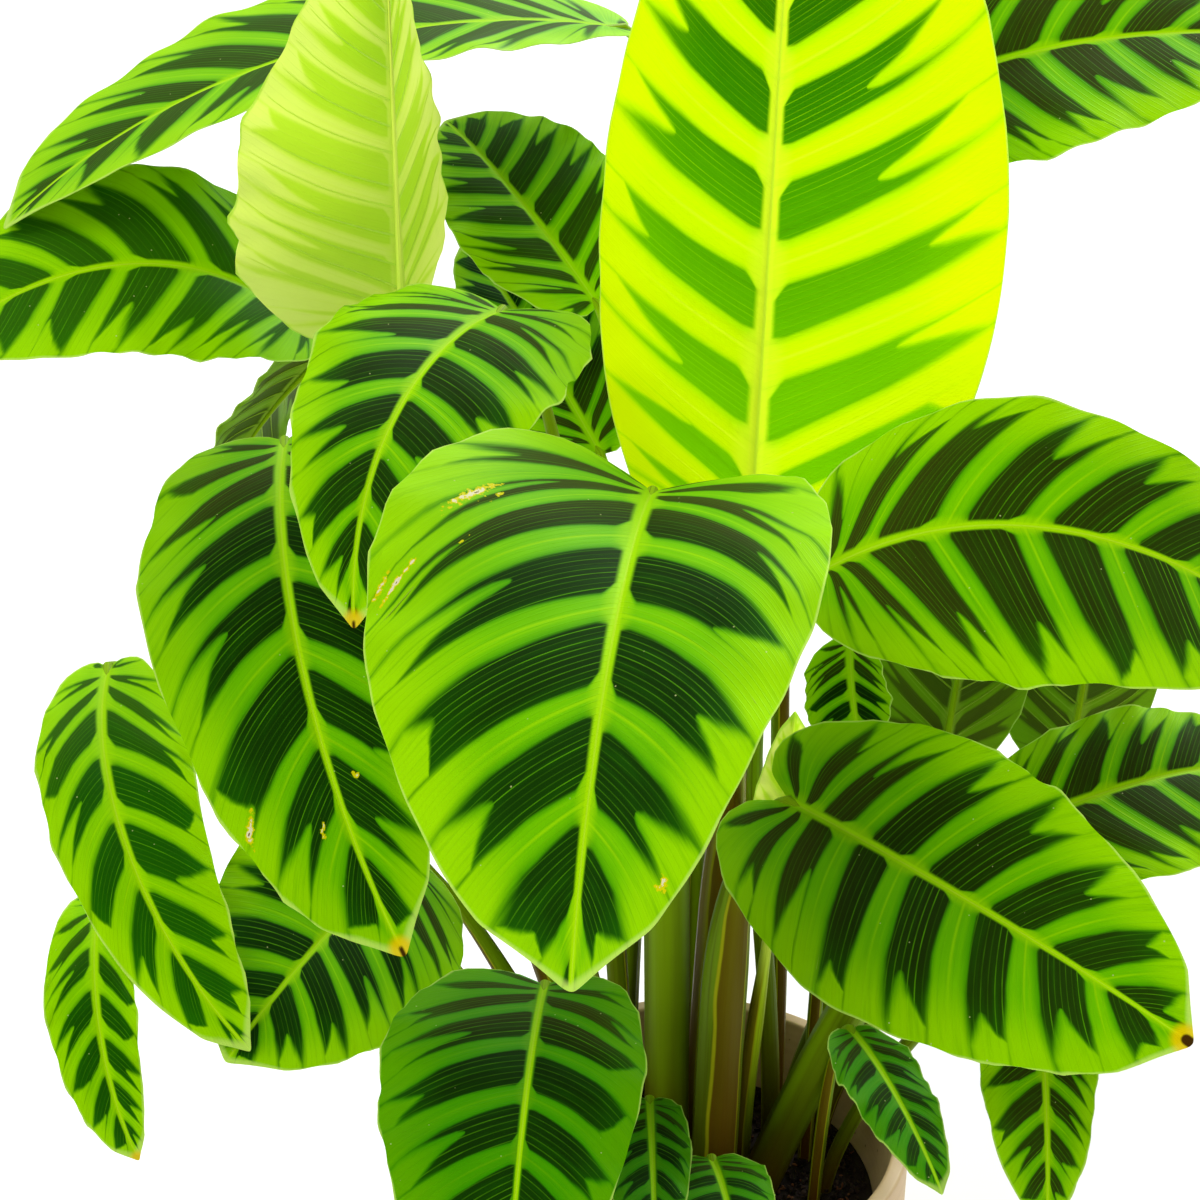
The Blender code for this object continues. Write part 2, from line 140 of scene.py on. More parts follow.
LEAVES = (
    LeafForm("leaf_front", (-16, 0), (-28, -55, 517), (-57, -268, 440), 167, arch=(0.22, 0.20),
             sway=(-0.03, -0.01), roll=5, twist=-31, fold=(24, 5), uneven=0.10, taper=0.55, girth=21,
             pairs=5.4, ruffle=0.02, rib=4.6, shift=0.25, sweep=0.46,
             scars=((0.279, 0.70, 6.0, 1.5), (0.275, 0.613, 2.0, 1.4), (0.342, 0.625, 1.6, 1.4),
                    (0.392, 0.875, 6.0, 1.3), (0.404, 0.96, 3.0, 1.6), (0.758, -0.9, 3.0, 3.0))),
    LeafForm("leaf_upright_bright", (3, 15), (18, 48, 434), (37, 157, 771), 184, arch=(-0.03, 0.02),
             fold=(12, 4), curl=4, uneven=0.16, taper=0.3, girth=20, tone=Tone.YOUNG, pairs=7.8,
             scorch=(-1, 0.78, 0.09), ruffle=0.008, rib=6.5, shift=-0.03, sweep=0.24),
    LeafForm("leaf_pale_new", (-38, 18), (-135, 52, 548), (-133, 48, 714), 148, arch=(0, 0), roll=28,
             fold=(22, 30), curl=4, uneven=0.0, taper=0.9, tone=Tone.PALE, pairs=7.0, ruffle=0.08),
    LeafForm("leaf_mid_left", (-34, -6), (-90, 56, 557), (-140, -101, 483), 109, arch=(0.20, 0.25),
             sway=(0.04, 0.10), roll=-8, uneven=-0.12, taper=0.9, girth=10, burn=0.5, ruffle=0.08,
             olive_and_painted_sheen=0.2),
    LeafForm("leaf_left", (-50, 4), (-187, 55, 498), (-122, -155, 375), 109, sway=(0.05, 0.08), roll=10,
             uneven=0.08, taper=0.4, girth=10, burn=0.4, ruffle=0.08, rib=3.6, paler_and_painted_shade=-0.15,
             scars=((0.654, 0.888, 4.0, 2.5), (0.771, 0.35, 2.4, 2.4), (0.717, -0.3, 2.0, 2.0))),
    LeafForm("leaf_low_left", (-64, -8), (-265, 15, 407), (-190, -120, 304), 64, sway=(0.13, 0.15), roll=10,
             uneven=-0.10, ruffle=0.08, paler_and_painted_shade=0.5),
    LeafForm("leaf_hanging_left", (-66, 18), (-286, 31, 276), (-261, -44, 184), 42, sway=(0.10, 0.10),
             girth=7, burn=0.3, ruffle=0.10, paler_and_painted_shade=0.4),
    LeafForm("leaf_under_left", (-48, -20), (-136, 15, 310), (-197, -122, 300), 120, arch=(0.10, 0.10),
             sway=(0.05, 0.05), roll=-45, uneven=0.0),
    LeafForm("leaf_bottom", (-30, -40), (-72, -61, 292), (-83, -214, 246), 110, fold=(18, 4), paler_and_painted_shade=-0.7),
    LeafForm("leaf_right_low", (5, -18), (32, -37, 369), (166, -177, 350), 127, arch=(0.08, 0.10), roll=38,
             fold=(20, 4), uneven=0.06, lobe=0.24, girth=21, burn=0.6, sweep=0.24, olive_and_painted_sheen=0.3, paler_and_painted_shade=-0.1),
    LeafForm("leaf_right_mid", (36, 20), (43, 4, 456), (241, -19, 436), 127, arch=(0.32, 0.28),
             sway=(-0.16, -0.08), roll=48, olive_and_painted_sheen=0.5),
    LeafForm("leaf_far_right", (30, 0), (125, -1, 328), (269, 63, 323), 85, arch=(0.25, 0.30), roll=35,
             girth=19, lean=0.75, olive_and_painted_sheen=0.6),
    LeafForm("leaf_pot_right", (54, -20), (67, -20, 238), (95, -114, 225), 40, arch=(0.10, 0.10), girth=6,
             paler_and_painted_shade=-0.8, olive_and_painted_sheen=0.3),
    LeafForm("leaf_hanging_right", (62, -2), (148, -23, 279), (148, -89, 187), 54, arch=(0.10, 0.10),
             girth=7, burn=0.5, olive_and_painted_sheen=0.6, paler_and_painted_shade=-0.1),
    LeafForm("leaf_upper_left", (-52, 30), (-180, 111, 530), (-336, 52, 540), 98, arch=(0.28, 0.28),
             sway=(0.18, 0.12), roll=-45, uneven=0.0, olive_and_painted_sheen=0.7, paler_and_painted_shade=0.6),
    LeafForm("leaf_top_left", (14, 32), (-37, 198, 653), (-301, 72, 591), 127, arch=(0.12, 0.13),
             sway=(0.08, 0.06), roll=-8, fold=(6, 4), curl=6, pairs=7.0, olive_and_painted_sheen=0.8, paler_and_painted_shade=0.2),
    LeafForm("leaf_upper_mid", (-36, 36), (-49, 128, 538), (-125, 234, 602), 90, arch=(0.10, 0.10), roll=-25,
             olive_and_painted_sheen=0.6, paler_and_painted_shade=0.2),
    LeafForm("leaf_top_right", (38, 34), (94, 186, 619), (274, 168, 655), 120, arch=(0.20, 0.10), roll=38,
             taper=1.0, olive_and_painted_sheen=0.8),
    LeafForm("leaf_behind", (-18, 33), (-48, 137, 461), (-117, 239, 541), 70, arch=(0.10, 0.10), roll=-25),
    LeafForm("leaf_left_back", (-46, 48), (-172, 161, 514), (-253, 148, 402), 64, arch=(0.12, 0.10),
             roll=36),
    LeafForm("leaf_small_dark", (54, 20), (68, 64, 397), (77, 36, 337), 45, arch=(0.12, 0.10), roll=50,
             girth=7),
    LeafForm("leaf_back_right", (46, 42), (118, 75, 324), (152, 168, 457), 85, arch=(0, 0), roll=180),
    LeafForm("leaf_back_far_right", (62, 34), (186, 100, 307), (220, 188, 428), 85, arch=(0, 0), roll=180),
    LeafForm("leaf_rolled_young", (22, 16), (30, -5, 303), (38, 10, 386), 40, arch=(0, 0), roll=20,
             fold=(40, 40), girth=8, tone=Tone.PALE, pairs=5.0),
    LeafForm("leaf_pot_front", (-10, -50), (-26, -49, 221), (-26, -158, 224), 40, arch=(0.10, 0.10), girth=6,
             paler_and_painted_shade=-0.8),
    LeafForm("leaf_pot_mid", (8, -52), (2, -60, 197), (10, -161, 216), 50, arch=(0.10, 0.10), girth=6,
             paler_and_painted_shade=-0.8),
    LeafForm("leaf_back_tall", (-2, 38), (2, 150, 450), (10, 345, 560), 90, arch=(0.10, 0.10)),
    LeafForm("leaf_back_low", (12, 60), (30, 112, 290), (50, 212, 140), 92),
    LeafForm("leaf_back_left", (-34, 56), (-48, 118, 385), (-128, 215, 225), 96),
)


class Signal:
    """A node's output, which works in sums as a number does."""

    def __init__(self, wiring: "Wiring", socket: bpy.types.NodeSocket) -> None:
        """Keeps the output and the wiring that it belongs to."""
        self.wiring = wiring
        self.socket = socket

    def __add__(self, other: "Feed") -> "Signal":
        """The sum."""
        return self.wiring.math('ADD', self, other)

    def __sub__(self, other: "Feed") -> "Signal":
        """The difference."""
        return self.wiring.math('SUBTRACT', self, other)

    def __mul__(self, other: "Feed") -> "Signal":
        """The product."""
        return self.wiring.math('MULTIPLY', self, other)

    def __truediv__(self, other: "Feed") -> "Signal":
        """The quotient."""
        return self.wiring.math('DIVIDE', self, other)

    def __pow__(self, other: "Feed") -> "Signal":
        """The power."""
        return self.wiring.math('POWER', self, other)

    def __abs__(self) -> "Signal":
        """The size without its sign."""
        return self.wiring.math('ABSOLUTE', self)

    def floor(self) -> "Signal":
        """The whole number below."""
        return self.wiring.math('FLOOR', self)

    def over(self, limit: float) -> "Signal":
        """1 where it is greater than the limit, or else 0."""
        return self.wiring.math('GREATER_THAN', self, limit)

    def rise(self, low: "Feed", high: "Feed", start: "Feed" = 0.0, end: "Feed" = 1.0) -> "Signal":
        """Goes smoothly from start to end while this goes from low to high."""
        return self.wiring.get("ShaderNodeMapRange", {0: self, 1: low, 2: high, 3: start, 4: end},
                               interpolation_type='SMOOTHSTEP')

    def ramp(self, low: "Feed", high: "Feed", start: "Feed" = 0.0, end: "Feed" = 1.0) -> "Signal":
        """Goes straight from start to end while this goes from low to high."""
        return self.wiring.get("ShaderNodeMapRange", {0: self, 1: low, 2: high, 3: start, 4: end})

    def toward(self, colour: "Feed", share: "Feed") -> "Signal":
        """This colour, mixed with another by the other's share."""
        return self.wiring.blend(share, self, colour)


Feed = Signal | float | tuple


class Wiring:
    """Adds nodes to a tree and links them, so that a pattern reads like a sum."""

    def __init__(self, tree: bpy.types.NodeTree) -> None:
        """Works on one tree."""
        self.tree = tree

    def fill(self, node: bpy.types.Node, inputs: dict) -> None:
        """Sets or links a node's inputs.

        Args:
            node: The node.
            inputs: Numbers, tuples or other nodes' outputs, by the input's name or number.
        """
        for key, value in inputs.items():
            if isinstance(value, Signal):
                self.tree.links.new(value.socket, node.inputs[key])
            else:
                node.inputs[key].default_value = value

    def add(self, kind: str, inputs: dict | None = None, **settings: object) -> bpy.types.Node:
        """Adds a node.

        Args:
            kind: The node's type name.
            inputs: What goes into it, as in fill.
            **settings: Its properties.

        Returns:
            The node.
        """
        node = self.tree.nodes.new(kind)
        for name, value in settings.items():
            setattr(node, name, value)
        self.fill(node, inputs or {})
        return node

    def out(self, node: bpy.types.Node, key: int | str = 0) -> Signal:
        """One output of a node, by its name or number."""
        return Signal(self, node.outputs[key])

    def get(self, kind: str, inputs: dict | None = None, output: int | str = 0,
            **settings: object) -> Signal:
        """Adds a node and reads one of its outputs.

        Args:
            kind: The node's type name.
            inputs: What goes into it, as in fill.
            output: The output's name or number.
            **settings: Its properties.

        Returns:
            The output.
        """
        return self.out(self.add(kind, inputs, **settings), output)

    def given(self) -> dict:
        """The tree's own inputs by name."""
        entry = self.add("NodeGroupInput")
        return {socket.name: Signal(self, socket) for socket in entry.outputs if socket.name}

    def math(self, operation: str, *values: Feed) -> Signal:
        """One step of arithmetic on the values."""
        return self.get("ShaderNodeMath", dict(enumerate(values)), operation=operation)

    def vector(self, x: Feed, y: Feed, z: Feed = 0.0) -> Signal:
        """Three numbers as a vector."""
        return self.get("ShaderNodeCombineXYZ", {0: x, 1: y, 2: z})

    def scaled(self, vector: Feed, factor: Feed) -> Signal:
        """A vector times a number."""
        return self.get("ShaderNodeVectorMath", {0: vector, "Scale": factor}, operation='SCALE')

    def parts(self, value: Feed, kind: str) -> list:
        """The three numbers in a vector ("XYZ") or a colour ("Color")."""
        node = self.add(f"ShaderNodeSeparate{kind}", {0: value})
        return [self.out(node, number) for number in range(3)]

    def here(self) -> Signal:
        """Where on the object a point lies."""
        return self.get("ShaderNodeTexCoord", output="Object")

    def noise(self, place: Feed, scale: float = 1.0, detail: float = 2.0, rough: float = 0.5) -> Signal:
        """Cloudy noise from 0 to 1."""
        return self.get("ShaderNodeTexNoise",
                        {"Vector": place, "Scale": scale, "Detail": detail, "Roughness": rough})

    def specks(self, scale: float, size: tuple, rare: tuple) -> Signal:
        """Scattered dots.

        Args:
            scale: How many cells there are in a metre.
            size: Distances from a dot's middle between which it rises to full strength.
            rare: Draws between which a cell's dot comes in.

        Returns:
            1 in a dot, 0 off it.
        """
        cells = self.add("ShaderNodeTexVoronoi", {"Vector": self.here(), "Scale": scale})
        chosen = self.parts(self.out(cells, "Color"), "Color")[0].rise(*rare)
        return self.out(cells, "Distance").rise(*size) * chosen

    def bump(self, height: Feed, strength: float, distance: float) -> Signal:
        """Normals that follow a height."""
        return self.get("ShaderNodeBump", {"Strength": strength, "Distance": distance, "Height": height})

    def blend(self, share: Feed, first: Feed, second: Feed, kind: str = 'MIX') -> Signal:
        """Two colours mixed by the share of the second, in one of the blend types."""
        return self.get("ShaderNodeMix", {0: share, 6: first, 7: second}, 2, data_type='RGBA',
                        blend_type=kind)

    def attribute(self, name: str) -> Signal:
        """A number stored on the mesh."""
        return self.get("ShaderNodeAttribute", output="Fac", attribute_name=name, attribute_type='GEOMETRY')


class ZebraPattern:
    """The zebra bands of a blade, as a group that gives colour, height and roughness over it."""

    crisp: float = 0.024
    faded: float = 0.07
    near_halo: float = 0.11
    far_halo: float = 0.06
    finger_tip: float = 0.06
    half_step: float = 31.7
    second_draw: float = 9.5
    wander: float = 0.3
    speck_cells: float = 210.0
    scar_grain: float = 420.0
    # On mature blades "Dark at base" is a grey olive: painted sheen of light grazing the velvet near the
    # base.
    inputs: dict = {
        "Dark share": 0.60, "Dark at base": tint(58, 64, 12), "Dark": tint(3, 40, 1),
        "Dark at tip": tint(8, 54, 3), "Base reach": 0.4, "Green": tint(44, 142, 0),
        "Lime": tint(120, 202, 0), "Margin": tint(164, 228, 0), "Rib": tint(176, 232, 2),
        "Vein": tint(92, 168, 10), "Vein strength": 0.9, "Streaks": 1.0, "Marks": 1.0}
    rib_painted_highlight: tuple = tint(210, 238, 70)
    edge_light: tuple = tint(206, 236, 110)
    speck: tuple = tint(206, 216, 140)
    scar_rings: tuple = ((0.36, 0.5, tint(222, 216, 8)), (0.62, 0.7, tint(238, 232, 190)),
                         (0.98, 1.04, tint(120, 84, 40)))
    yellowed: tuple = tint(240, 206, 4)
    brown: tuple = tint(70, 38, 8)
    scorched: tuple = tint(96, 62, 18)

    def __init__(self) -> None:
        """Makes the group with its sockets and reads what each point of the blade brings."""
        self.tree = bpy.data.node_groups.new("zebra_bands", "ShaderNodeTree")
        for label, default in self.inputs.items():
            kind = "NodeSocketColor" if isinstance(default, tuple) else "NodeSocketFloat"
            self.tree.interface.new_socket(label, in_out='INPUT', socket_type=kind).default_value = default
        for label, kind in (("Color", "NodeSocketColor"), ("Height", "NodeSocketFloat"),
                            ("Roughness", "NodeSocketFloat")):
            self.tree.interface.new_socket(label, in_out='OUTPUT', socket_type=kind)
        w = self.w = Wiring(self.tree)
        self.given = w.given()
        self.along, across, _ = w.parts(w.get("ShaderNodeUVMap", uv_map="blade"), "XYZ")
        across = across * 2.0 - 1.0
        self.out = abs(across)
        self.seed = across.over(0.0) * self.half_step + w.math('ROUND', w.attribute("leaf_seed"))
        self.fine, self.rib_place, self.edge_gap = map(w.attribute, ("fine", "rib_place", "edge_gap"))
        self.paler_and_painted_shade, self.cloud = w.attribute("paler_and_painted_shade"), w.noise(w.here(), 14.0, 3.0, 0.55)
        streak = w.noise(w.vector(self.fine, self.out * 1.6, self.seed), 0.9, 3.0, 0.6)
        self.streak = (streak - 0.5) * self.given["Streaks"]
        band = w.attribute("band")
        drift = w.noise(w.vector(band * 0.8, self.out * 0.4, self.seed), 1.0, 1.0)
        band = band + (drift * self.wander - self.wander / 2)
        self.number = band.floor()
        self.place = band - self.number - 0.5

    def build(self) -> bpy.types.NodeTree:
        """Fills the group.

        Returns:
            The shader group.
        """
        w, given, out, rib_place = self.w, self.given, self.out, self.rib_place
        inside = self.band_depth() + self.streak * out.ramp(0.3, 0.95, 0.03, 0.14)
        soft = out.ramp(0.5, 1.0, self.crisp, self.faded)
        dark = inside.rise(soft * -1.0, soft) * rib_place.rise(1.1, 2.3)
        halo = (inside / self.place.rise(-0.05, 0.05, self.near_halo, self.far_halo)).rise(-1.2, 0.2)
        halo = halo * rib_place.rise(0.9, 3.0)
        colour = self.ground().toward(given["Green"], halo * 0.75).toward(self.band_tone(), dark)
        line, strong = self.vein_lines()
        vein = line * strong * out.rise(1.0, 0.7, 0.3, 1.0)
        vein = vein * (given["Vein strength"] * dark.rise(0.0, 1.0, 0.3, 1.0))
        colour = self.marked(colour.toward(given["Vein"], vein))
        colour = colour.toward(given["Rib"], rib_place.rise(1.5, 0.75) * 0.95)
        # Painted highlight along the core of the midrib.
        colour = colour.toward(self.rib_painted_highlight, rib_place.rise(0.4, 0.15) * 0.3)
        colour = colour.toward(self.edge_light, self.edge_gap.rise(0.0008, 0.0002) * 0.7)
        w.add("NodeGroupOutput", {"Color": self.burnt(colour), "Height": line * 0.5 + self.streak * 0.5,
                                  "Roughness": dark * 0.12 + (self.cloud * 0.14 + 0.46)})
        return self.tree

    def ground(self) -> Signal:
        """Colours what lies between the bands, paler at the margin and the midrib, and duller with painted
        shade on a leaf that lies in shade.

        Returns:
            The light green.
        """
        given, out, streak = self.given, self.out, self.streak
        lime = given["Lime"].toward(given["Margin"], out.rise(0.45, 0.95))
        lime = lime.toward(given["Green"], self.cloud.rise(0.4, 0.75) * 0.2)
        lime = lime.toward(given["Margin"], streak.rise(0.0, 0.3) * 0.35)
        lime = lime.toward(given["Green"], streak.rise(0.0, -0.3) * 0.3)
        lime = lime.toward(given["Rib"], self.rib_place.rise(5.0, 1.0) * 0.6)
        middle = abs(self.place).rise(0.47, 0.5) * out.rise(0.95, 0.3)
        lime = lime.toward(given["Rib"], middle * 0.5)
        # Above 0 the light green pales; below 0 painted shade dulls it towards the darker green.
        lime = lime.toward(given["Margin"], self.paler_and_painted_shade.ramp(0.0, 1.0))
        return lime.toward(given["Green"], self.paler_and_painted_shade.ramp(0.0, -1.0))

    def band_tone(self) -> Signal:
        """Colours the bands, which change from base to tip and fade towards the margin; on mature blades
        their grey olive near the base is painted sheen.

        Returns:
            The dark green.
        """
        given = self.given
        from_base = self.cloud * 0.14 + self.along
        # Painted sheen: near the base the bands start from "Dark at base", a grey olive on mature blades.
        tone = given["Dark at base"].toward(given["Dark"], from_base.rise(0.1, given["Base reach"]))
        tone = tone.toward(given["Dark at tip"], from_base.rise(0.45, 0.85))
        # Painted sheen: olive_and_painted_sheen pulls every band of a leaf towards that grey olive.
        tone = tone.toward(given["Dark at base"], self.w.attribute("olive_and_painted_sheen"))
        tone = tone.toward(given["Green"], self.paler_and_painted_shade.ramp(0.0, 1.0, 0.0, 0.6))
        tone = tone.toward(given["Green"], self.streak.rise(-0.1, 0.3) * 0.14)
        return tone.toward(given["Green"], self.out.rise(0.5, 0.95, 0.0, 0.22))

    def band_depth(self) -> Signal:
        """How far inside the dark band a point lies, in band pitches, below 0 outside it.

        A light finger splits the band's outer end in two.

        Returns:
            The depth.
        """
        w, out, place = self.w, self.out, self.place
        draws = []
        for shift in (0.0, self.second_draw):
            white = w.get("ShaderNodeTexWhiteNoise", {0: w.vector(self.number, shift, self.seed)}, "Color")
            draws += w.parts(white, "Color")
        width = self.given["Dark share"] * 0.5 * draws[0].ramp(0, 1, 0.9, 1.1)
        width = width * self.along.rise(0.0, 0.12, 0.62, 1.0)
        width = width * out.ramp(0.0, 0.45, 1.14, 0.98) * out.ramp(0.6, 1.0, 1.0, 0.7)
        flare = self.rib_place.rise(4.5, 1.0) * (place.over(0.0) * 0.1 + 0.04)
        whole = width - abs(place) - flare
        start = draws[1].ramp(0, 1, 0.4, 0.8)
        aside = draws[2].ramp(0, 1, -0.1, 0.1) + draws[3].ramp(0.7, 0.72, 0.0, 0.26)
        beyond = place - aside
        later = beyond.over(0.0)
        reach = later * -0.05 + 0.91 + draws[4].ramp(0, 1, 0.0, 0.07)
        tine = (later * -2.0 + 1.0) * aside + width
        opened = out.ramp(start, reach) ** 1.9 * tine
        opened = w.math('SQRT', out.ramp(start, start + 0.07)) * self.finger_tip + opened
        before = w.math('MAXIMUM', start - out, 0.0) * -3.0
        return w.math('MINIMUM', whole, abs(beyond) - (opened + before))

    def vein_lines(self) -> tuple:
        """Fine veins that run out beside each other.

        Returns:
            Where the lines are, and how strongly each stretch shows.
        """
        w, number = self.w, self.fine.floor()
        line = abs(self.fine - number - 0.5).rise(0.13, 0.03)
        draw = w.get("ShaderNodeTexWhiteNoise", {0: w.vector(number, self.seed)}, "Value")
        patch = w.noise(w.vector(number * 3.7, self.out * 5.0, self.seed))
        return line, (draw ** 2.5 * 0.8 + 0.2) * patch.rise(0.3, 0.65, 0.5, 1.0)

    def marked(self, colour: Signal) -> Signal:
        """Adds tiny pale specks, and dry scars in rings.

        Args:
            colour: The colour so far.

        Returns:
            The colour with the marks.
        """
        w, amount, scar = self.w, self.given["Marks"], self.w.attribute("scar")
        specks = w.specks(self.speck_cells, (0.08, 0.05), (0.86, 0.88))
        colour = colour.toward(self.speck, specks * amount * 0.7)
        depth = (w.noise(w.here(), self.scar_grain, 3.0, 0.6) - 0.5) * 1.6 + scar
        real = scar.rise(0.08, 0.2) * amount
        for low, high, ring in self.scar_rings:
            colour = colour.toward(ring, depth.rise(low, high) * real)
        return colour

    def burnt(self, colour: Signal) -> Signal:
        """Adds the yellow and brown of a dry tip or margin.

        Args:
            colour: The colour so far.

        Returns:
            The colour with the dry parts.
        """
        burn, cloud = self.w.attribute("burn"), self.cloud
        place = burn * (cloud * 0.007 + 0.0015) - self.w.attribute("tip_gap")
        colour = colour.toward(self.yellowed, place.rise(-0.004, 0.0) * burn.rise(0.0, 0.2, 0.0, 0.85))
        colour = colour.toward(self.brown, place.rise(0.001, 0.002))
        dry = self.w.attribute("scorch") * (cloud * 0.004) - self.edge_gap
        return colour.toward(self.scorched, dry.rise(0.0, 0.0004))


def bare_material(name: str) -> tuple:
    """A material with a Principled shader.

    Args:
        name: The material's name.

    Returns:
        The material, its wiring, its shader and its output node.
    """
    material = bpy.data.materials.new(name)
    material.use_nodes = True
    nodes = material.node_tree.nodes
    return material, Wiring(material.node_tree), nodes["Principled BSDF"], nodes["Material Output"]


@dataclass(frozen=True)
class BladeFinish:
    """A blade's skin: velvety, banded, and letting some light through."""

    name: str
    colours: dict
    through: float = 0.24
    glow: tuple = tint(150, 220, 20)
    velvet: float = 0.04
    sheen: tuple = tint(110, 190, 20)
    shine: tuple = tint(90, 200, 10)

    def make(self, pattern: bpy.types.NodeTree) -> bpy.types.Material:
        """Makes the material.

        Args:
            pattern: The zebra group.

        Returns:
            The material.
        """
        material, w, shader, output = bare_material(self.name)
        group = w.add("ShaderNodeGroup", self.colours, node_tree=pattern)
        skin, height, rough = (w.out(group, label) for label in ("Color", "Height", "Roughness"))
        ridges = w.bump(height, 0.35, 0.0004)
        w.fill(shader, {"Base Color": skin, "Roughness": rough, "Normal": ridges,
                        "Sheen Weight": self.velvet, "Sheen Roughness": 0.4, "Sheen Tint": self.sheen,
                        "Specular IOR Level": 0.2, "Specular Tint": self.shine})
        lit = skin.toward(w.blend(0.55, skin, self.glow, 'MULTIPLY'), 0.6)
        behind = w.get("ShaderNodeBsdfTranslucent", {"Color": lit, "Normal": ridges})
        mixed = w.get("ShaderNodeMixShader", {0: self.through, 1: w.out(shader), 2: behind})
        w.fill(output, {"Surface": mixed})
        return material


@dataclass(frozen=True)
class StalkFinish:
    """Stalks: olive green and finely ridged, redder where the sheath wraps, paler at the blade, and darker
    with painted shade near the soil.
    """

    name: str = "stalk_skin"
    # Dark at the foot: painted shade near the soil, also the dark of the fibre streaks.
    low: tuple = tint(70, 74, 1)
    middle: tuple = tint(104, 136, 2)
    top: tuple = tint(138, 178, 8)
    sheath: tuple = tint(92, 54, 6)
    edge: tuple = tint(156, 158, 14)
    shine: tuple = tint(190, 220, 60)

    def make(self) -> bpy.types.Material:
        """Makes the material.

        Returns:
            The material.
        """
        material, w, shader, _ = bare_material(self.name)
        run, round_it, seed = map(w.attribute, ("stalk_run", "stalk_round", "leaf_seed"))
        fibres = w.noise(w.vector(round_it * 26.0, run * 5.0, seed), 1.0, 3.0)
        broad = w.noise(w.vector(round_it * 5.0, run * 2.0, seed), 1.0, 1.0)
        patches = w.noise(w.here(), 22.0)
        # Painted shade: darker towards the soil, lightening up the stalk.
        colour = w.blend(run.rise(0.0, 0.3), self.low, self.middle).toward(self.top, run.rise(0.3, 0.5))
        colour = colour.toward(self.low, fibres.rise(0.45, 0.7) * 0.55)
        colour = colour.toward(self.top, broad.rise(0.45, 0.7) * 0.5)
        colour = colour.toward(self.sheath, (patches * 0.12 + run).rise(0.17, 0.06) * 0.75)
        turn = w.math('FRACT', seed * 0.37 + round_it)
        opening = (patches - 0.5) * 0.08 + abs(turn - 0.5)
        wrapped = run.rise(0.42, 0.3)
        colour = colour.toward(self.sheath, opening.rise(0.13, 0.1) * (wrapped * 0.8))
        lip = opening.rise(0.10, 0.115) * opening.rise(0.14, 0.125)
        w.fill(shader, {"Base Color": colour.toward(self.edge, lip * wrapped),
                        "Roughness": fibres.ramp(0, 1, 0.4, 0.65), "Specular IOR Level": 0.3,
                        "Specular Tint": self.shine, "Normal": w.bump(fibres, 0.6, 0.0005)})
        return material


@dataclass(frozen=True)
class GlazeFinish:
    """The pot's matt beige glaze, faintly brushed round and speckled."""

    light: tuple = tint(205, 176, 130)
    shade: tuple = tint(150, 118, 78)
    speck: tuple = tint(88, 62, 36)

    def make(self) -> bpy.types.Material:
        """Makes the material.

        Returns:
            The material.
        """
        material, w, shader, _ = bare_material("pot_glaze")
        where = w.here()
        x, y, z = w.parts(where, "XYZ")
        brushed = w.noise(w.vector(x * 6.0, y * 6.0, z * 300.0), 1.0, 3.0, 0.6)
        cloud = w.noise(where, 18.0, 4.0, 0.6)
        grain = w.noise(where, 900.0)
        colour = w.blend(brushed.rise(0.3, 0.72, 0.0, 0.22), self.light, self.shade)
        colour = colour.toward(self.shade, cloud.rise(0.42, 0.7, 0.0, 0.3))
        colour = colour.toward(self.speck, w.specks(260.0, (0.22, 0.12), (0.8, 0.9)) * 0.6)
        w.fill(shader, {"Base Color": colour, "Roughness": cloud.ramp(0, 1, 0.42, 0.66),
                        "Normal": w.bump(brushed * 0.4 + grain * 0.3, 0.35, 0.0003)})
        return material


@dataclass(frozen=True)
class PeatFinish:
    """Dark potting soil, with its crumbs a little different from each other."""

    dark: tuple = tint(24, 17, 11)
    light: tuple = tint(52, 36, 24)
    bark: tuple = tint(108, 66, 36)
    dark_patch: tuple = tint(14, 10, 7)

    def make(self) -> bpy.types.Material:
        """Makes the material.

        Returns:
            The material.
        """
        material, w, shader, _ = bare_material("peat")
        draw = w.attribute("crumb")
        cloud = w.noise(w.here(), 160.0, 4.0, 0.65)
        colour = w.blend(draw.rise(0.0, 0.75), self.dark, self.light).toward(self.bark, draw.rise(0.86, 0.9))
        # Darker patches where a random cloud is high.
        colour = colour.toward(self.dark_patch, cloud.rise(0.4, 0.7) * 0.6)
        w.fill(shader, {"Base Color": colour, "Roughness": 0.92, "Specular IOR Level": 0.25,
                        "Normal": w.bump(cloud, 0.8, 0.0008)})
        return material


@dataclass(frozen=True)
class FloorFinish:
    """A plain pale floor."""

    paint: tuple = (0.92, 0.92, 0.92, 1.0)
    roughness: float = 0.8

    def make(self) -> bpy.types.Material:
        """Makes the material.

        Returns:
            The material.
        """
        material, w, shader, _ = bare_material("pale_floor")
        w.fill(shader, {"Base Color": self.paint, "Roughness": self.roughness})
        return material


def add_object(name: str, data: bpy.types.ID) -> bpy.types.Object:
    """Puts something in the scene.

    Args:
        name: The new object's name.
        data: Its mesh, light or camera.

    Returns:
        The object.
    """
    item = bpy.data.objects.new(name, data)
    bpy.context.scene.collection.objects.link(item)
    return item


def settle(item: bpy.types.Object) -> bpy.types.Object:
    """Turns an object's modifiers into a plain mesh.

    Args:
        item: The object.

    Returns:
        The same object with its evaluated mesh and no modifiers.
    """
    bpy.context.view_layer.update()
    evaluated = item.evaluated_get(bpy.context.evaluated_depsgraph_get())
    mesh = bpy.data.meshes.new_from_object(evaluated)
    item.modifiers.clear()
    old = item.data
    item.data = mesh
    bpy.data.meshes.remove(old)
    return item


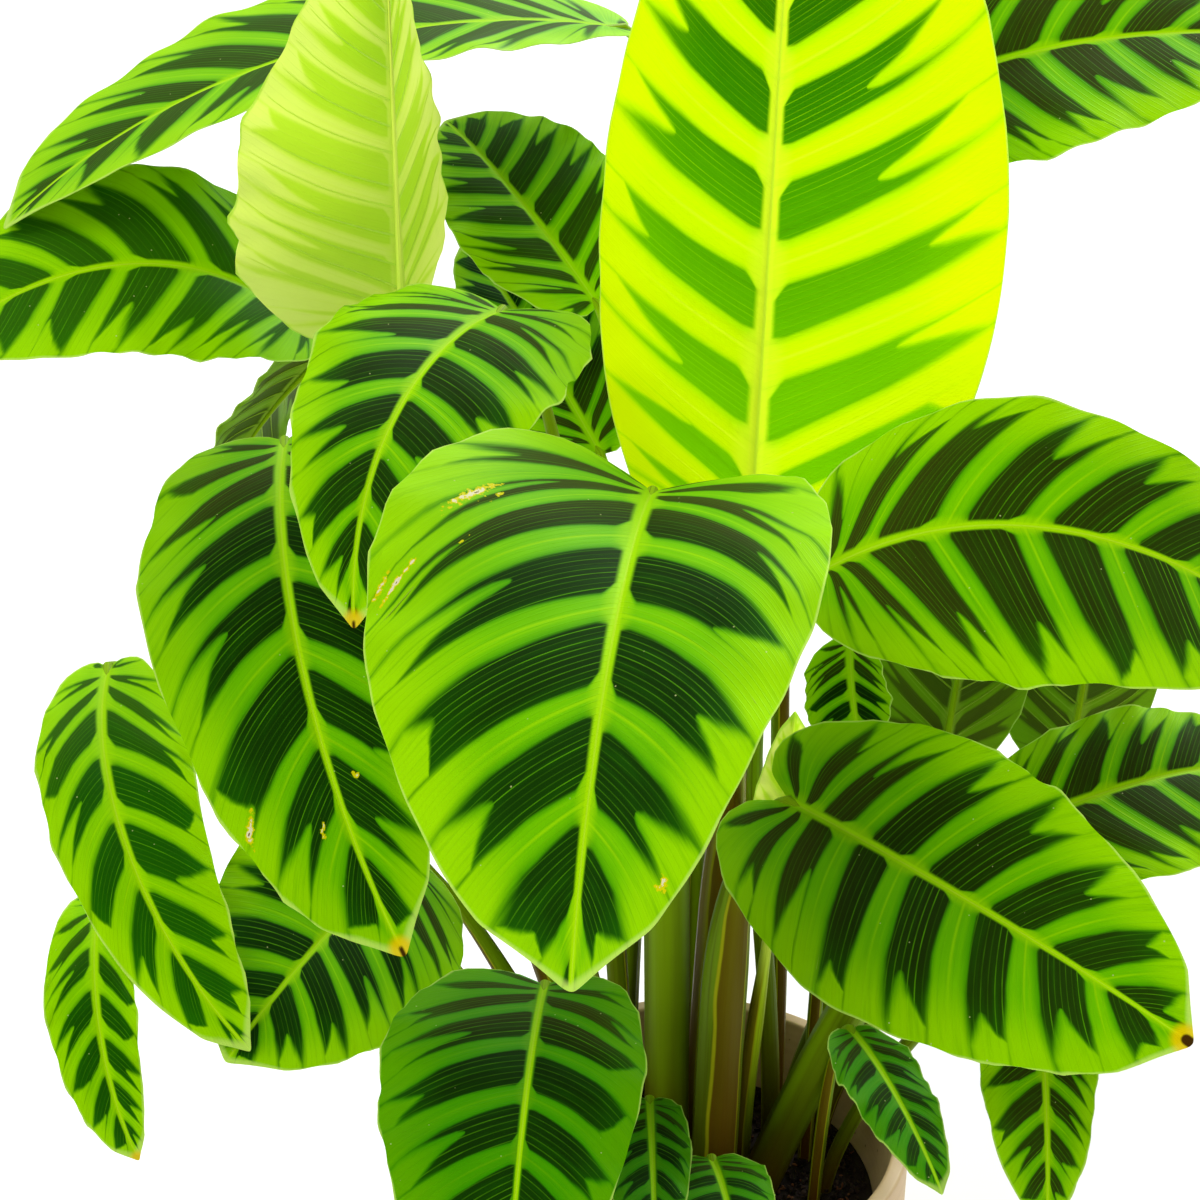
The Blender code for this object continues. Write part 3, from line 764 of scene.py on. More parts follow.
def joined(items: list) -> bpy.types.Object:
    """Joins objects.

    Args:
        items: The objects.

    Returns:
        The first, which now holds them all.
    """
    with bpy.context.temp_override(active_object=items[0], object=items[0], selected_objects=items,
                                   selected_editable_objects=items):
        bpy.ops.object.join()
    return items[0]


def add_numbers(mesh: bpy.types.Mesh, **numbers: np.ndarray | float) -> None:
    """Stores a number on each point of a mesh.

    Args:
        mesh: The mesh.
        **numbers: Values, or one for all points, by the name that materials read.
    """
    for name, values in numbers.items():
        store = mesh.attributes.get(name) or mesh.attributes.new(name, 'FLOAT', 'POINT')
        store.data.foreach_set("value", np.resize(values, len(mesh.vertices)).astype(np.float32))


class Growth:
    """A Geometry Nodes tree with named inputs, run on a mesh and kept plain; each kind wires its own."""

    def __init__(self, name: str, sizes: dict) -> None:
        """Makes the tree and its sockets.

        Args:
            name: The tree's name.
            sizes: Its numbers by name; a whole number gets an integer socket.
        """
        tree = bpy.data.node_groups.new(name, "GeometryNodeTree")
        self.tree, self.w, self.sizes = tree, Wiring(tree), sizes
        tree.interface.new_socket("Start", in_out='INPUT', socket_type="NodeSocketGeometry")
        kinds = {label: "NodeSocketInt" if isinstance(value, int) else "NodeSocketFloat"
                 for label, value in sizes.items()} | {"Material": "NodeSocketMaterial"}
        self.sockets = {label: tree.interface.new_socket(label, in_out='INPUT', socket_type=kind).identifier
                        for label, kind in kinds.items()}
        tree.interface.new_socket("Grown", in_out='OUTPUT', socket_type="NodeSocketGeometry")
        given = self.w.given()
        grown = self.w.get("GeometryNodeRealizeInstances", {"Geometry": self.wire(given)})
        grown = self.w.get("GeometryNodeSetMaterial", {"Geometry": grown, "Material": given["Material"]})
        self.w.add("NodeGroupOutput", {0: grown})

    def stored(self, geometry: Signal, name: str, value: Signal, domain: str) -> Signal:
        """The geometry with a number stored on it by name."""
        inputs = {"Geometry": geometry, "Name": name, "Value": value}
        return self.w.get("GeometryNodeStoreNamedAttribute", inputs, data_type='FLOAT', domain=domain)

    def swollen(self, geometry: Signal, factor: Signal) -> Signal:
        """The geometry with each point's place times a factor."""
        place = self.w.scaled(self.w.get("GeometryNodeInputPosition"), factor)
        return self.w.get("GeometryNodeSetPosition", {"Geometry": geometry, "Position": place})

    def run(self, name: str, mesh: bpy.types.Mesh, material: bpy.types.Material) -> bpy.types.Object:
        """Runs the tree on a mesh.

        Args:
            name: The new object's name.
            mesh: What the tree starts from.
            material: What the result is made of.

        Returns:
            The finished object, a plain mesh.
        """
        item = add_object(name, mesh)
        modifier = item.modifiers.new("growth", 'NODES')
        modifier.node_group = self.tree
        for label, value in {**self.sizes, "Material": material}.items():
            modifier[self.sockets[label]] = value
        return settle(item)


class TubeGrowth(Growth):
    """Runs a ridged tube along each line of a mesh, as thick as the line's own girth says."""

    def wire(self, given: dict) -> Signal:
        """Adds the nodes between the tree's inputs and its end.

        Args:
            given: The inputs by name.

        Returns:
            The tubes.
        """
        w = self.w
        lines = w.get("GeometryNodeMeshToCurve", {"Mesh": given["Start"]})
        lines = w.get("GeometryNodeSetCurveNormal", {"Curve": lines}, mode='MINIMUM_TWIST')
        part = w.get("GeometryNodeSplineParameter", output="Factor")
        ring = w.get("GeometryNodeCurvePrimitiveCircle", {"Resolution": given["Sides"], "Radius": 1.0},
                     mode='RADIUS')
        ridge = w.math('COSINE', part * TURN * given["Ridges"]) * given["Ridge depth"] + 1.0
        ring = self.stored(self.swollen(ring, ridge), "stalk_round", part, 'POINT')
        girth = w.get("GeometryNodeInputNamedAttribute", {"Name": "girth"}, data_type='FLOAT')
        tubes = w.get("GeometryNodeCurveToMesh",
                      {"Curve": lines, "Profile Curve": ring, "Scale": girth, "Fill Caps": True})
        return w.get("GeometryNodeSetShadeSmooth", {"Geometry": tubes})

    def grow(self, name: str, lines: list, material: bpy.types.Material) -> bpy.types.Object:
        """Makes the tubes.

        Args:
            name: The new object's name.
            lines: Pairs of points and radii for each line, in metres.
            material: What the tubes are made of.

        Returns:
            A plain mesh object.
        """
        mesh = bpy.data.meshes.new(f"{name}_lines")
        edges, first = [], 0
        for path, _ in lines:
            edges += [(first + k, first + k + 1) for k in range(len(path) - 1)]
            first += len(path)
        mesh.from_pydata(np.concatenate([path for path, _ in lines]).tolist(), edges, [])
        add_numbers(mesh, girth=np.concatenate([radii for _, radii in lines]),
                    stalk_run=np.concatenate([np.linspace(0, 1, len(path)) for path, _ in lines]))
        return self.run(name, mesh, material)


class CrumbGrowth(Growth):
    """Scatters dented crumbs over a face."""

    dent_scale: float = 1.3
    turns: tuple = ((0.0, 0.0, 0.0), (6.28, 6.28, 6.28))
    sizes_between: tuple = ((0.35, 0.35, 0.25), (1.4, 1.0, 0.8))

    def wire(self, given: dict) -> Signal:
        """Adds the nodes between the tree's inputs and its end.

        Args:
            given: The inputs by name.

        Returns:
            The crumbs.
        """
        w = self.w
        points = w.get("GeometryNodeDistributePointsOnFaces",
                       {"Mesh": given["Start"], "Density": given["Density"], "Seed": given["Seed"]})
        crumb = w.get("GeometryNodeMeshIcoSphere", {"Radius": 1.0, "Subdivisions": 1})
        dent = w.noise(w.get("GeometryNodeInputPosition"), self.dent_scale, 1.0)
        crumb = self.swollen(crumb, dent * 1.6 + 0.2)
        spin = self.drawn(self.turns, 3)
        size = w.scaled(self.drawn(self.sizes_between, 5), given["Crumb size"])
        placed = w.get("GeometryNodeInstanceOnPoints",
                       {"Points": points, "Instance": crumb, "Rotation": spin, "Scale": size})
        draw = w.get("FunctionNodeRandomValue", {2: 0.0, 3: 1.0, "Seed": 8}, 1, data_type='FLOAT')
        return self.stored(placed, "crumb", draw, 'INSTANCE')

    def drawn(self, between: tuple, seed: int) -> Signal:
        """A vector between two, drawn anew for each crumb."""
        inputs = {0: between[0], 1: between[1], "Seed": seed}
        return self.w.get("FunctionNodeRandomValue", inputs, data_type='FLOAT_VECTOR')


@dataclass
class Leaf:
    """A leaf: its blade, fine veins and stalk, in one piece."""

    form: LeafForm
    index: int
    skins: dict
    stalk_tree: TubeGrowth
    vein_tree: TubeGrowth
    soil_top: float
    thickness: float = 0.0008
    thin_margin: float = 0.45
    step: float = 0.0023
    rows: tuple = (36, 130)
    columns: tuple = (10, 30)
    stalk_depth: float = 0.025
    quilt: float = 0.0007
    groove: float = 0.0007
    groove_width: float = 0.0018
    neck: float = 0.0045
    neck_end: float = 0.34
    sheath_end: float = 0.4
    thinning: float = 0.5
    rib: float = 0.0022
    tip_from: float = 0.93
    drip_tip: float = 0.012
    vein_gap: float = 0.0029
    vein_start: float = 0.03
    vein_radius: float = 0.00045
    vein_end: float = 0.00012
    fan: float = 2.2
    ripple: float = 0.0014
    stalk_steps: int = 25
    keel_end: float = 0.96
    rim_bend: float = 50.0
    phase: float = field(init=False)

    def __post_init__(self) -> None:
        """Works out where the margin's waves start."""
        self.phase = self.index * GOLDEN_SHARE % 1.0

    def midrib(self, share: np.ndarray) -> tuple:
        """The line that the blade follows.

        Args:
            share: Where to read it, 0 at the blade's base and 1 at its tip.

        Returns:
            Points, their direction, the blade's side direction, its upper normal, and the line's length.
        """
        form = self.form
        base, chord = np.array(form.base) * MM, np.array(form.tip) * MM - np.array(form.base) * MM
        reach = float(np.linalg.norm(chord))
        along = chord / reach
        up = unit(UP - along[2] * along)
        side = np.cross(along, up)
        roll = math.radians(form.roll)
        up, side = up * math.cos(roll) + side * math.sin(roll), side * math.cos(roll) - up * math.sin(roll)
        handles = [base + reach * (at * along + arch * up + sway * side)
                   for at, arch, sway in zip((0.3, 0.72), form.arch, form.sway)]
        path = bezier([base, *handles, base + chord], np.linspace(0, 1, 161))
        travelled = np.concatenate(([0.0], np.cumsum(np.linalg.norm(np.diff(path, axis=0), axis=1))))
        length = float(travelled[-1])
        at = share * length
        point, slope = (np.stack([np.interp(at, travelled, line[:, axis]) for axis in range(3)], axis=-1)
                        for line in (path, unit(np.gradient(path, axis=0))))
        tangent = unit(slope)
        level = unit(side - (tangent @ side)[:, None] * tangent)
        twist = np.radians(form.twist) * (share - 0.4)[:, None]
        level = level * np.cos(twist) + np.cross(level, tangent) * np.sin(twist)
        return point, tangent, level, np.cross(level, tangent), length

    def surface(self, along: np.ndarray, across: np.ndarray) -> dict:
        """The blade's upper surface.

        Args:
            along: 0 to 1 from base to tip, along the midrib end of each vein.
            across: -1 to 1 from margin to margin.

        Returns:
            Points by "place", what the materials read by "numbers", and each point's "vein" and share "out".
        """
        form = self.form
        out, hand, right = np.abs(across), np.sign(across), (across > 0).astype(float)
        # The outline is half an ellipse on each side, widened towards its base and drawn in at its tip.
        angle = math.pi * along**0.82
        reach = (1 - np.cos(angle)) / 2
        breadth = np.abs(np.sin(angle)) * (1 + form.taper * (0.5 - reach)) / (1 + 0.13 * form.taper)
        to_tip = np.clip((reach - self.tip_from) / (1 - self.tip_from), 0, 1)
        breadth = breadth * (1 - 0.6 * to_tip**1.4)
        # Each vein runs ahead as it goes out, but at the base the margin falls back in a lobe.
        lobe = form.lobe * np.sin(math.pi * out / 2)**2 * bell(along / 0.14) * np.sqrt(breadth)
        run = along + (reach - along) * (0.75 * out + 0.25 * out**3) - lobe + self.drip_tip * to_tip**2
        on_rib = np.clip(run, 0, 1)
        point, tangent, level, normal, length = self.midrib(on_rib)
        half = form.width / 2 * MM * (1 + form.uneven * hand)
        share = breadth * out * (1 + form.ruffle * out**2 * self.scallops(along, hand))
        fold = np.radians(form.fold[0] + (form.fold[1] - form.fold[0]) * on_rib)
        curl = math.radians(form.curl)
        sideways = half * (np.sin(fold) - np.sin(fold - curl * share)) / curl
        vein = self.vein_origin(along, out)
        band = (form.pairs * (vein + 0.12 * vein**3) + self.fan * (1 - np.exp(-vein / self.vein_start))
                + 0.12 * right + self.phase + form.shift)
        rib_gap = share * half
        # Height over the midrib: curl, the margin's waves, the swell between veins, the groove, a ripple.
        lift = half * (np.cos(fold - curl * share) - np.cos(fold)) / curl
        lift += form.wave * MM * share**2 * np.sin(TURN * (3 * run + self.phase + 0.37 * right))
        lift += self.quilt * (0.5 - 0.5 * np.cos(TURN * band)) * np.sin(math.pi * out)**0.8 * breadth
        groove = self.groove * (1 - 0.8 * on_rib) * bell(rib_gap / self.groove_width)
        lift -= groove * np.minimum(1, breadth * 3)
        lift += self.ripple * share**2 * out**3 * np.sin(TURN * (9 * run + 2.3 * self.phase + 0.5 * right))
        place = (point + tangent * ((run - on_rib) * length)[:, None]
                 + level * (hand * sideways)[:, None] + normal * lift[:, None])
        hand_burnt, burnt_at, burnt_length = form.scorch
        numbers = {
            "band": band,
            "fine": band * round(form.reach() / form.pairs / self.vein_gap),
            "rib_place": rib_gap / (form.rib / 2 * MM * (1 - 0.72 * on_rib)),
            "edge_gap": np.maximum(breadth * half - rib_gap, 0),
            "scorch": np.maximum(hand * hand_burnt, 0) * bell((along - burnt_at) / burnt_length),
            "tip_gap": np.hypot(np.maximum(1 - run, 0) * length, rib_gap),
            "scar": self.scarring(vein, across, length),
            "burn": form.burn,
            "olive_and_painted_sheen": form.olive_and_painted_sheen,
            # Paler above 0, painted shade below 0.
            "paler_and_painted_shade": form.paler_and_painted_shade,
        }
        return {"place": place, "numbers": numbers, "vein": vein, "out": out}

    def scarring(self, vein: np.ndarray, across: np.ndarray, length: float) -> np.ndarray:
        """How deep in a dry scar each point lies.

        Args:
            vein: Where its side vein leaves the midrib.
            across: -1 to 1 from margin to margin.
            length: The midrib's length.

        Returns:
            1 in the middle of a scar, falling to 0 round it.
        """
        found = np.zeros(len(vein))
        for along_at, across_at, wide, high in self.form.scars:
            origin = self.vein_origin(np.array([along_at]), np.array([abs(across_at)]))[0]
            gap = (vein - origin) * length / (high * MM)
            aside = (across - across_at) * self.form.width / 2 / wide
            found = np.maximum(found, bell(gap) * bell(aside))
        return found

    def scallops(self, along: np.ndarray, hand: np.ndarray) -> np.ndarray:
        """How far the margin swings out or in, as a share of the ruffle.

        Args:
            along: 0 to 1 from base to tip.
            hand: The side, -1 or 1.

        Returns:
            A value from -1 to 1 for each point.
        """
        turn = self.phase + 0.31 * hand
        count = self.form.pairs * 0.95 * along + 0.3 * np.sin(TURN * (1.7 * along + turn)) + turn
        peaks = 1 - np.abs(np.sin(math.pi * count))
        smaller = 1 - np.abs(np.sin(math.pi * (2.3 * count + 0.4)))
        return (0.75 * peaks + 0.25 * smaller - 0.36) * np.sin(math.pi * along)**0.5

    def vein_origin(self, along: np.ndarray, out: np.ndarray) -> np.ndarray:
        """Where the side vein through each point leaves the midrib.

        Args:
            along: 0 to 1 from base to tip.
            out: 0 to 1 from midrib to margin.

        Returns:
            Its place along the midrib, 0 to 1.
        """
        origin = np.linspace(0, 1, FINE_STEPS)
        found = np.empty(len(along))
        for level in np.unique(out):
            here = out == level
            found[here] = np.interp(along[here], origin + self.lead(origin) * level, origin)
        return found

    def lead(self, origin: np.ndarray) -> np.ndarray:
        """How far each side vein runs ahead of its origin by the time it meets the margin."""
        return self.form.sweep * (1 - origin)**2.5 * (1 - np.exp(-origin / self.vein_start))

    def blade(self) -> tuple:
        """Makes the blade's shell.

        Returns:
            The blade's object, its upper surface's points in rows and columns, and each row's place on the
            midrib.
        """
        form = self.form
        rows = int(np.clip(form.reach() / self.step, *self.rows))
        columns = 2 * int(np.clip(form.width * MM / 2 / self.step * 0.85, *self.columns))
        steps = np.linspace(-1, 1, columns + 1)
        columns_at = np.sign(steps) * (0.3 * np.abs(steps) + 0.7 * steps**2)
        even = np.linspace(0, 1, FINE_STEPS)
        rows_at = np.interp(np.linspace(0, 1, rows + 1)[1:-1], even + 0.5 * self.lead(even), even)
        veins = rows_at[:, None] + self.lead(rows_at)[:, None] * np.abs(columns_at)
        across = np.concatenate(([0.0], np.tile(columns_at, rows - 1), [0.0]))
        made = self.surface(np.concatenate(([0.0], veins.ravel(), [1.0])), across)
        count, last = columns + 1, len(across) - 1
        faces = [(a, a + 1, a + count + 1, a + count)
                 for i in range(rows - 2) for a in range(1 + i * count, 1 + i * count + columns)]
        for j in range(columns):
            faces += [(0, 2 + j, 1 + j), (last, last - count + j, last - count + j + 1)]
        mesh = bpy.data.meshes.new(form.name)
        mesh.from_pydata(made["place"].tolist(), [], faces)
        order = np.zeros(len(mesh.loops), np.int32)
        mesh.loops.foreach_get("vertex_index", order)
        corners = np.stack((made["vein"][order], (across[order] + 1) / 2), axis=-1)
        mesh.uv_layers.new(name="blade").data.foreach_set("uv", corners.astype(np.float32).ravel())
        add_numbers(mesh, **made["numbers"])
        mesh.shade_smooth()
        for side in ("", "_under"):
            mesh.materials.append(self.skins[form.tone.value + side])
        item = self.thickened(add_object(form.name, mesh), made["out"])
        return item, made["place"][1:-1].reshape(rows - 1, count, 3), rows_at

    def thickened(self, item: bpy.types.Object, out: np.ndarray) -> bpy.types.Object:
        """Gives the blade its thickness, which thins out to the margin.

        Args:
            item: The blade's upper surface.
            out: The share of the way to the margin at each point.

        Returns:
            The blade as a closed shell.
        """
        group = item.vertex_groups.new(name="thickness")
        weights = 1 - (1 - self.thin_margin) * out**2
        near = 0.0051
        for level in np.unique(np.round(weights, 2)):
            group.add(np.flatnonzero(np.abs(weights - level) < near).tolist(), float(level), 'REPLACE')
        shell = item.modifiers.new("thickness", 'SOLIDIFY')
        shell.thickness = self.thickness
        shell.offset = -1.0
        shell.vertex_group = "thickness"
        shell.material_offset = 1
        shell.material_offset_rim = 0
        settle(item)
        item.vertex_groups.clear()
        item.data.set_sharp_from_angle(angle=math.radians(self.rim_bend))
        return item

    def stalk_line(self) -> tuple:
        """The stalk, up out of the soil and on along the blade's underside.

        Returns:
            Its points, and the radius at each.
        """
        form = self.form
        foot = np.array((form.foot[0] * MM, form.foot[1] * MM, self.soil_top))
        point, tangent, _, _, _ = self.midrib(np.array([0.0]))
        base = point[0]
        rise = base - foot
        height = float(np.linalg.norm(rise))
        start = unit(UP + form.lean * np.array((rise[0], rise[1], 0.0)) / height)
        arrival = tangent[0] * 0.2 * height + UP * 0.1 * height
        shares = np.linspace(0, 1, self.stalk_steps)
        rising = bezier([foot, foot + 0.45 * height * start, base - arrival, base], shares)
        keel_at = np.linspace(0, self.keel_end, self.stalk_steps)[1:]
        rib, _, _, normal, _ = self.midrib(keel_at)
        keel = self.neck + (self.rib - self.neck) * np.clip(keel_at / self.neck_end, 0, 1)
        keel *= 1 - 0.65 * np.clip((keel_at - self.neck_end) / (self.keel_end - self.neck_end), 0, 1)
        depth = 0.5 * self.thickness + 0.5 * keel + self.groove * (1 - 0.8 * keel_at)
        girth = form.girth * MM
        neck = min(self.neck, girth)
        thinning = np.clip((shares - self.sheath_end) / self.thinning, 0, 1)
        widths = girth + (neck - girth) * thinning**2 * (3 - 2 * thinning)
        widths += 0.25 * neck * bell((shares - 0.93) / 0.06)
        path = np.concatenate(((foot - UP * self.stalk_depth)[None], rising, rib - normal * depth[:, None]))
        return path, np.concatenate(([girth / 2], widths / 2, keel / 2))

    def vein_lines(self, grid: np.ndarray, rows_at: np.ndarray) -> list:
        """Raised veins on the underside.

        Args:
            grid: Points of the upper surface in rows and columns.
            rows_at: Where each row leaves the midrib.

        Returns:
            Lines of points with the radius at each.
        """
        normals = unit(np.cross(np.gradient(grid, axis=1), np.gradient(grid, axis=0)))
        lines, middle = [], grid.shape[1] // 2
        per_side = max(6, int(self.form.pairs * 2))
        for at in (np.arange(per_side) + 0.7) / per_side * self.keel_end:
            row = int(np.argmin(np.abs(rows_at - at)))
            for columns in (np.arange(middle + 1, grid.shape[1] - 1), np.arange(middle - 1, 0, -1)):
                pick = columns[np.unique(np.linspace(0, len(columns) - 1, 11).astype(int))]
                share = np.linspace(0, 1, len(pick))
                radii = self.vein_radius * (1 - share)**0.7 + self.vein_end
                thick = self.thickness * (1 - (1 - self.thin_margin) * share**2)
                lines.append((grid[row, pick] - normals[row, pick] * (thick + radii * 0.1)[:, None], radii))
        return lines

    def build(self) -> bpy.types.Object:
        """Makes the whole leaf and sets it in its node's place.

        Returns:
            The leaf's object.
        """
        item, grid, rows_at = self.blade()
        name, tone = self.form.name, self.form.tone.value
        stalk = self.stalk_tree.grow(f"{name}_stalk", [self.stalk_line()], self.skins[f"{tone}_stalk"])
        veins = self.vein_tree.grow(f"{name}_veins", self.vein_lines(grid, rows_at),
                                    self.skins[f"{tone}_under"])
        add_numbers(veins.data, edge_gap=0.01, rib_place=1.2, tip_gap=0.1)
        item = joined([item, stalk, veins])
        item.name = f"zebra_{name}"
        add_numbers(item.data, leaf_seed=self.index + 1)
        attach(item, ROOT)
        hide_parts(self.form.name)
        return item


def turned(name: str, profile: list, sides: int, material: bpy.types.Material) -> bpy.types.Object:
    """A solid of revolution about Z.

    Args:
        name: The object's name.
        profile: Radii and heights, down the outer side.
        sides: Steps round.
        material: What it is made of.

    Returns:
        A plain mesh object.
    """
    mesh = bpy.data.meshes.new(name)
    edges = [(i, i + 1) for i in range(len(profile) - 1)]
    mesh.from_pydata([(radius, 0.0, height) for radius, height in profile], edges, [])
    item = add_object(name, mesh)
    screw = item.modifiers.new("turn", 'SCREW')
    screw.axis = 'Z'
    screw.steps = screw.render_steps = sides
    screw.use_merge_vertices = True
    screw.merge_threshold = 0.00001
    settle(item)
    item.data.shade_smooth()
    item.data.set_sharp_from_angle(angle=math.radians(35))
    item.data.materials.append(material)
    return item


def eased(corners: list, radius: float, steps: int = 4) -> list:
    """An outline with its corners rounded.

    Args:
        corners: Points of the outline; the two ends stay.
        radius: How far from each corner the rounding starts.
        steps: Points along each rounding.

    Returns:
        The points of the eased outline.
    """
    points = [Vector(corner) for corner in corners]
    path = [points[0]]
    for before, corner, after in zip(points, points[1:], points[2:]):
        start, end = (corner + (other - corner).normalized() * min(radius, (other - corner).length / 2)
                      for other in (before, after))
        for u in np.linspace(0, 1, steps + 1):
            path.append(start * (1 - u)**2 + corner * (2 * u * (1 - u)) + end * u**2)
    return [(point.x, point.y) for point in [*path, points[-1]]]


@dataclass
class Pot:
    """The pot: a tapered body under an upright rim band."""

    height: float = 0.170
    rim_radius: float = 0.100
    rim_wall: float = 0.0075
    band_height: float = 0.041
    band_step: float = 0.0035
    foot_radius: float = 0.072
    floor: float = 0.007
    wall: float = 0.0065
    edge: float = 0.0018
    sides: int = 160

    def inner_radius(self, height: float) -> float:
        """Radius of the inner wall at a height above the underside."""
        foot, top = self.foot_radius - self.wall, self.rim_radius - self.rim_wall
        return foot + (top - foot) * (height - self.floor) / (self.height - self.floor)

    def build(self) -> bpy.types.Object:
        """Makes the pot.

        Returns:
            The pot's object.
        """
        band_foot = self.height - self.band_height
        outline = [
            (0.0, self.floor),
            (self.inner_radius(self.floor), self.floor),
            (self.inner_radius(self.height), self.height),
            (self.rim_radius, self.height),
            (self.rim_radius, band_foot),
            (self.rim_radius - self.band_step, band_foot - self.band_step),
            (self.foot_radius, 0.0),
            (0.0, 0.0),
        ]
        item = turned("glazed_pot", eased(outline, self.edge), self.sides, GlazeFinish().make())
        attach(item, ROOT)
        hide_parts("pot")
        return item


@dataclass
class Soil:
    """The potting soil, with a rough top and loose crumbs on it."""

    pot: Pot
    level: float = 0.130
    crown: float = 0.002
    clearance: float = 0.0003
    sides: int = 96
    sunk: float = 0.0015
    edge_gap: float = 0.003
    lumps: int = 60
    lump_width: tuple = (0.004, 0.012)
    lump_height: tuple = (-0.0006, 0.0012)
    level_edge: float = 0.006
    crumbs: int = 2600
    crumb_size: float = 0.0017
    seed: int = 11

    def build(self) -> bpy.types.Object:
        """Makes the soil.

        Returns:
            The soil's object.
        """
        bottom = self.pot.floor + self.clearance
        edge = self.pot.inner_radius(self.level) - 2 * self.clearance
        outline = [(edge * share, self.level + self.crown * (1 - share**3) - self.sunk)
                   for share in np.linspace(0.0, 1.0, 30)]
        outline += [(self.pot.inner_radius(bottom) - self.edge_gap, bottom), (0.0, bottom)]
        peat = PeatFinish().make()
        item = turned("peat_soil", outline, self.sides, peat)
        self.roughen(item.data, edge)
        add_numbers(item.data, crumb=0.3)
        item = joined([item, self.loose_crumbs(peat, edge - self.edge_gap)])
        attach(item, ROOT)
        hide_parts("potting_soil")
        return item

    def roughen(self, mesh: bpy.types.Mesh, edge: float) -> None:
        """Raises small lumps on the top.

        Args:
            mesh: The soil's mesh.
            edge: Radius of its top.
        """
        rng = np.random.default_rng(self.seed)
        places = np.array([point.co for point in mesh.vertices], dtype=float)
        top = places[:, 2] > self.level - 0.004
        raised = np.zeros(len(places))
        for _ in range(self.lumps):
            centre = rng.uniform(-edge, edge, 2)
            size = rng.uniform(*self.lump_width)
            gap = np.linalg.norm(places[:, :2] - centre, axis=1)
            raised += rng.uniform(*self.lump_height) * bell(gap / size)
        inside = np.clip((edge - np.linalg.norm(places[:, :2], axis=1)) / self.level_edge, 0, 1)
        places[:, 2] += np.where(top, raised * inside, 0.0)
        mesh.vertices.foreach_set("co", places.ravel())
        mesh.update()

    def loose_crumbs(self, peat: bpy.types.Material, reach: float) -> bpy.types.Object:
        """Scatters crumbs over the top.

        Args:
            peat: Their material.
            reach: How far from the middle they lie.

        Returns:
            The crumbs as one plain mesh object.
        """
        growth = CrumbGrowth("soil_crumbs", {"Density": self.crumbs / (math.pi * reach**2),
                                             "Crumb size": self.crumb_size, "Seed": self.seed})
        ring = np.linspace(0, TURN, 48, endpoint=False)
        height = self.level + self.crown - 0.0008
        disc = bpy.data.meshes.new("crumb_ground")
        disc.from_pydata([(reach * math.cos(a), reach * math.sin(a), height) for a in ring], [],
                         [tuple(range(len(ring)))])
        return growth.run("loose_crumbs", disc, peat)


@dataclass
class Studio:
    """Floor, lights and camera."""

    eye: tuple = (-0.0483, -0.7749, 0.7991)
    look_down: float = 24.5
    lens: float = 60.0
    film: float = 36.0
    floor_reach: float = 30.0
    sky: float = 0.5

    def build(self) -> None:
        """Makes the floor, the lights and the camera."""
        self.camera()
        self.floor()
        self.world()
        self.soft_sun("key_sun", (-0.55, -0.55, 1.0), 40.0, 1.7)
        self.soft_sun("back_sun", (0.55, 1.0, 0.9), 30.0, 3.2)

    def camera(self) -> None:
        """Sets the camera where the photo was taken from."""
        data = bpy.data.cameras.new("photo_camera")
        data.lens = self.lens
        data.sensor_width = self.film
        data.clip_end = 100.0
        item = add_object("photo_camera", data)
        item.location = self.eye
        item.rotation_euler = (math.radians(90 - self.look_down), 0.0, 0.0)
        bpy.context.scene.camera = item

    def floor(self) -> None:
        """Lays the floor."""
        reach = self.floor_reach
        mesh = bpy.data.meshes.new("studio_floor")
        corners = [(-reach, -reach, 0), (reach, -reach, 0), (reach, reach, 0), (-reach, reach, 0)]
        mesh.from_pydata(corners, [], [(0, 1, 2, 3)])
        mesh.materials.append(FloorFinish().make())
        add_object("studio_floor", mesh)

    def world(self) -> None:
        """Lights everything softly from all round."""
        scene = bpy.context.scene
        world = bpy.data.worlds.new("studio_world")
        world.use_nodes = True
        sky = world.node_tree.nodes["Background"]
        sky.inputs["Color"].default_value = (1.0, 1.0, 1.0, 1.0)
        sky.inputs["Strength"].default_value = self.sky
        scene.world = world
        scene.view_settings.view_transform = 'Standard'

    def soft_sun(self, name: str, comes_from: tuple, spread: float, strength: float) -> None:
        """Hangs a wide, soft, distant light.

        Args:
            name: Its name.
            comes_from: The direction that it comes from.
            spread: The angle that it fills, in degrees.
            strength: Its strength in watts per square metre.
        """
        data = bpy.data.lights.new(name, 'SUN')
        data.angle = math.radians(spread)
        data.energy = strength
        add_object(name, data).rotation_euler = Vector(comes_from).to_track_quat('Z', 'Y').to_euler()


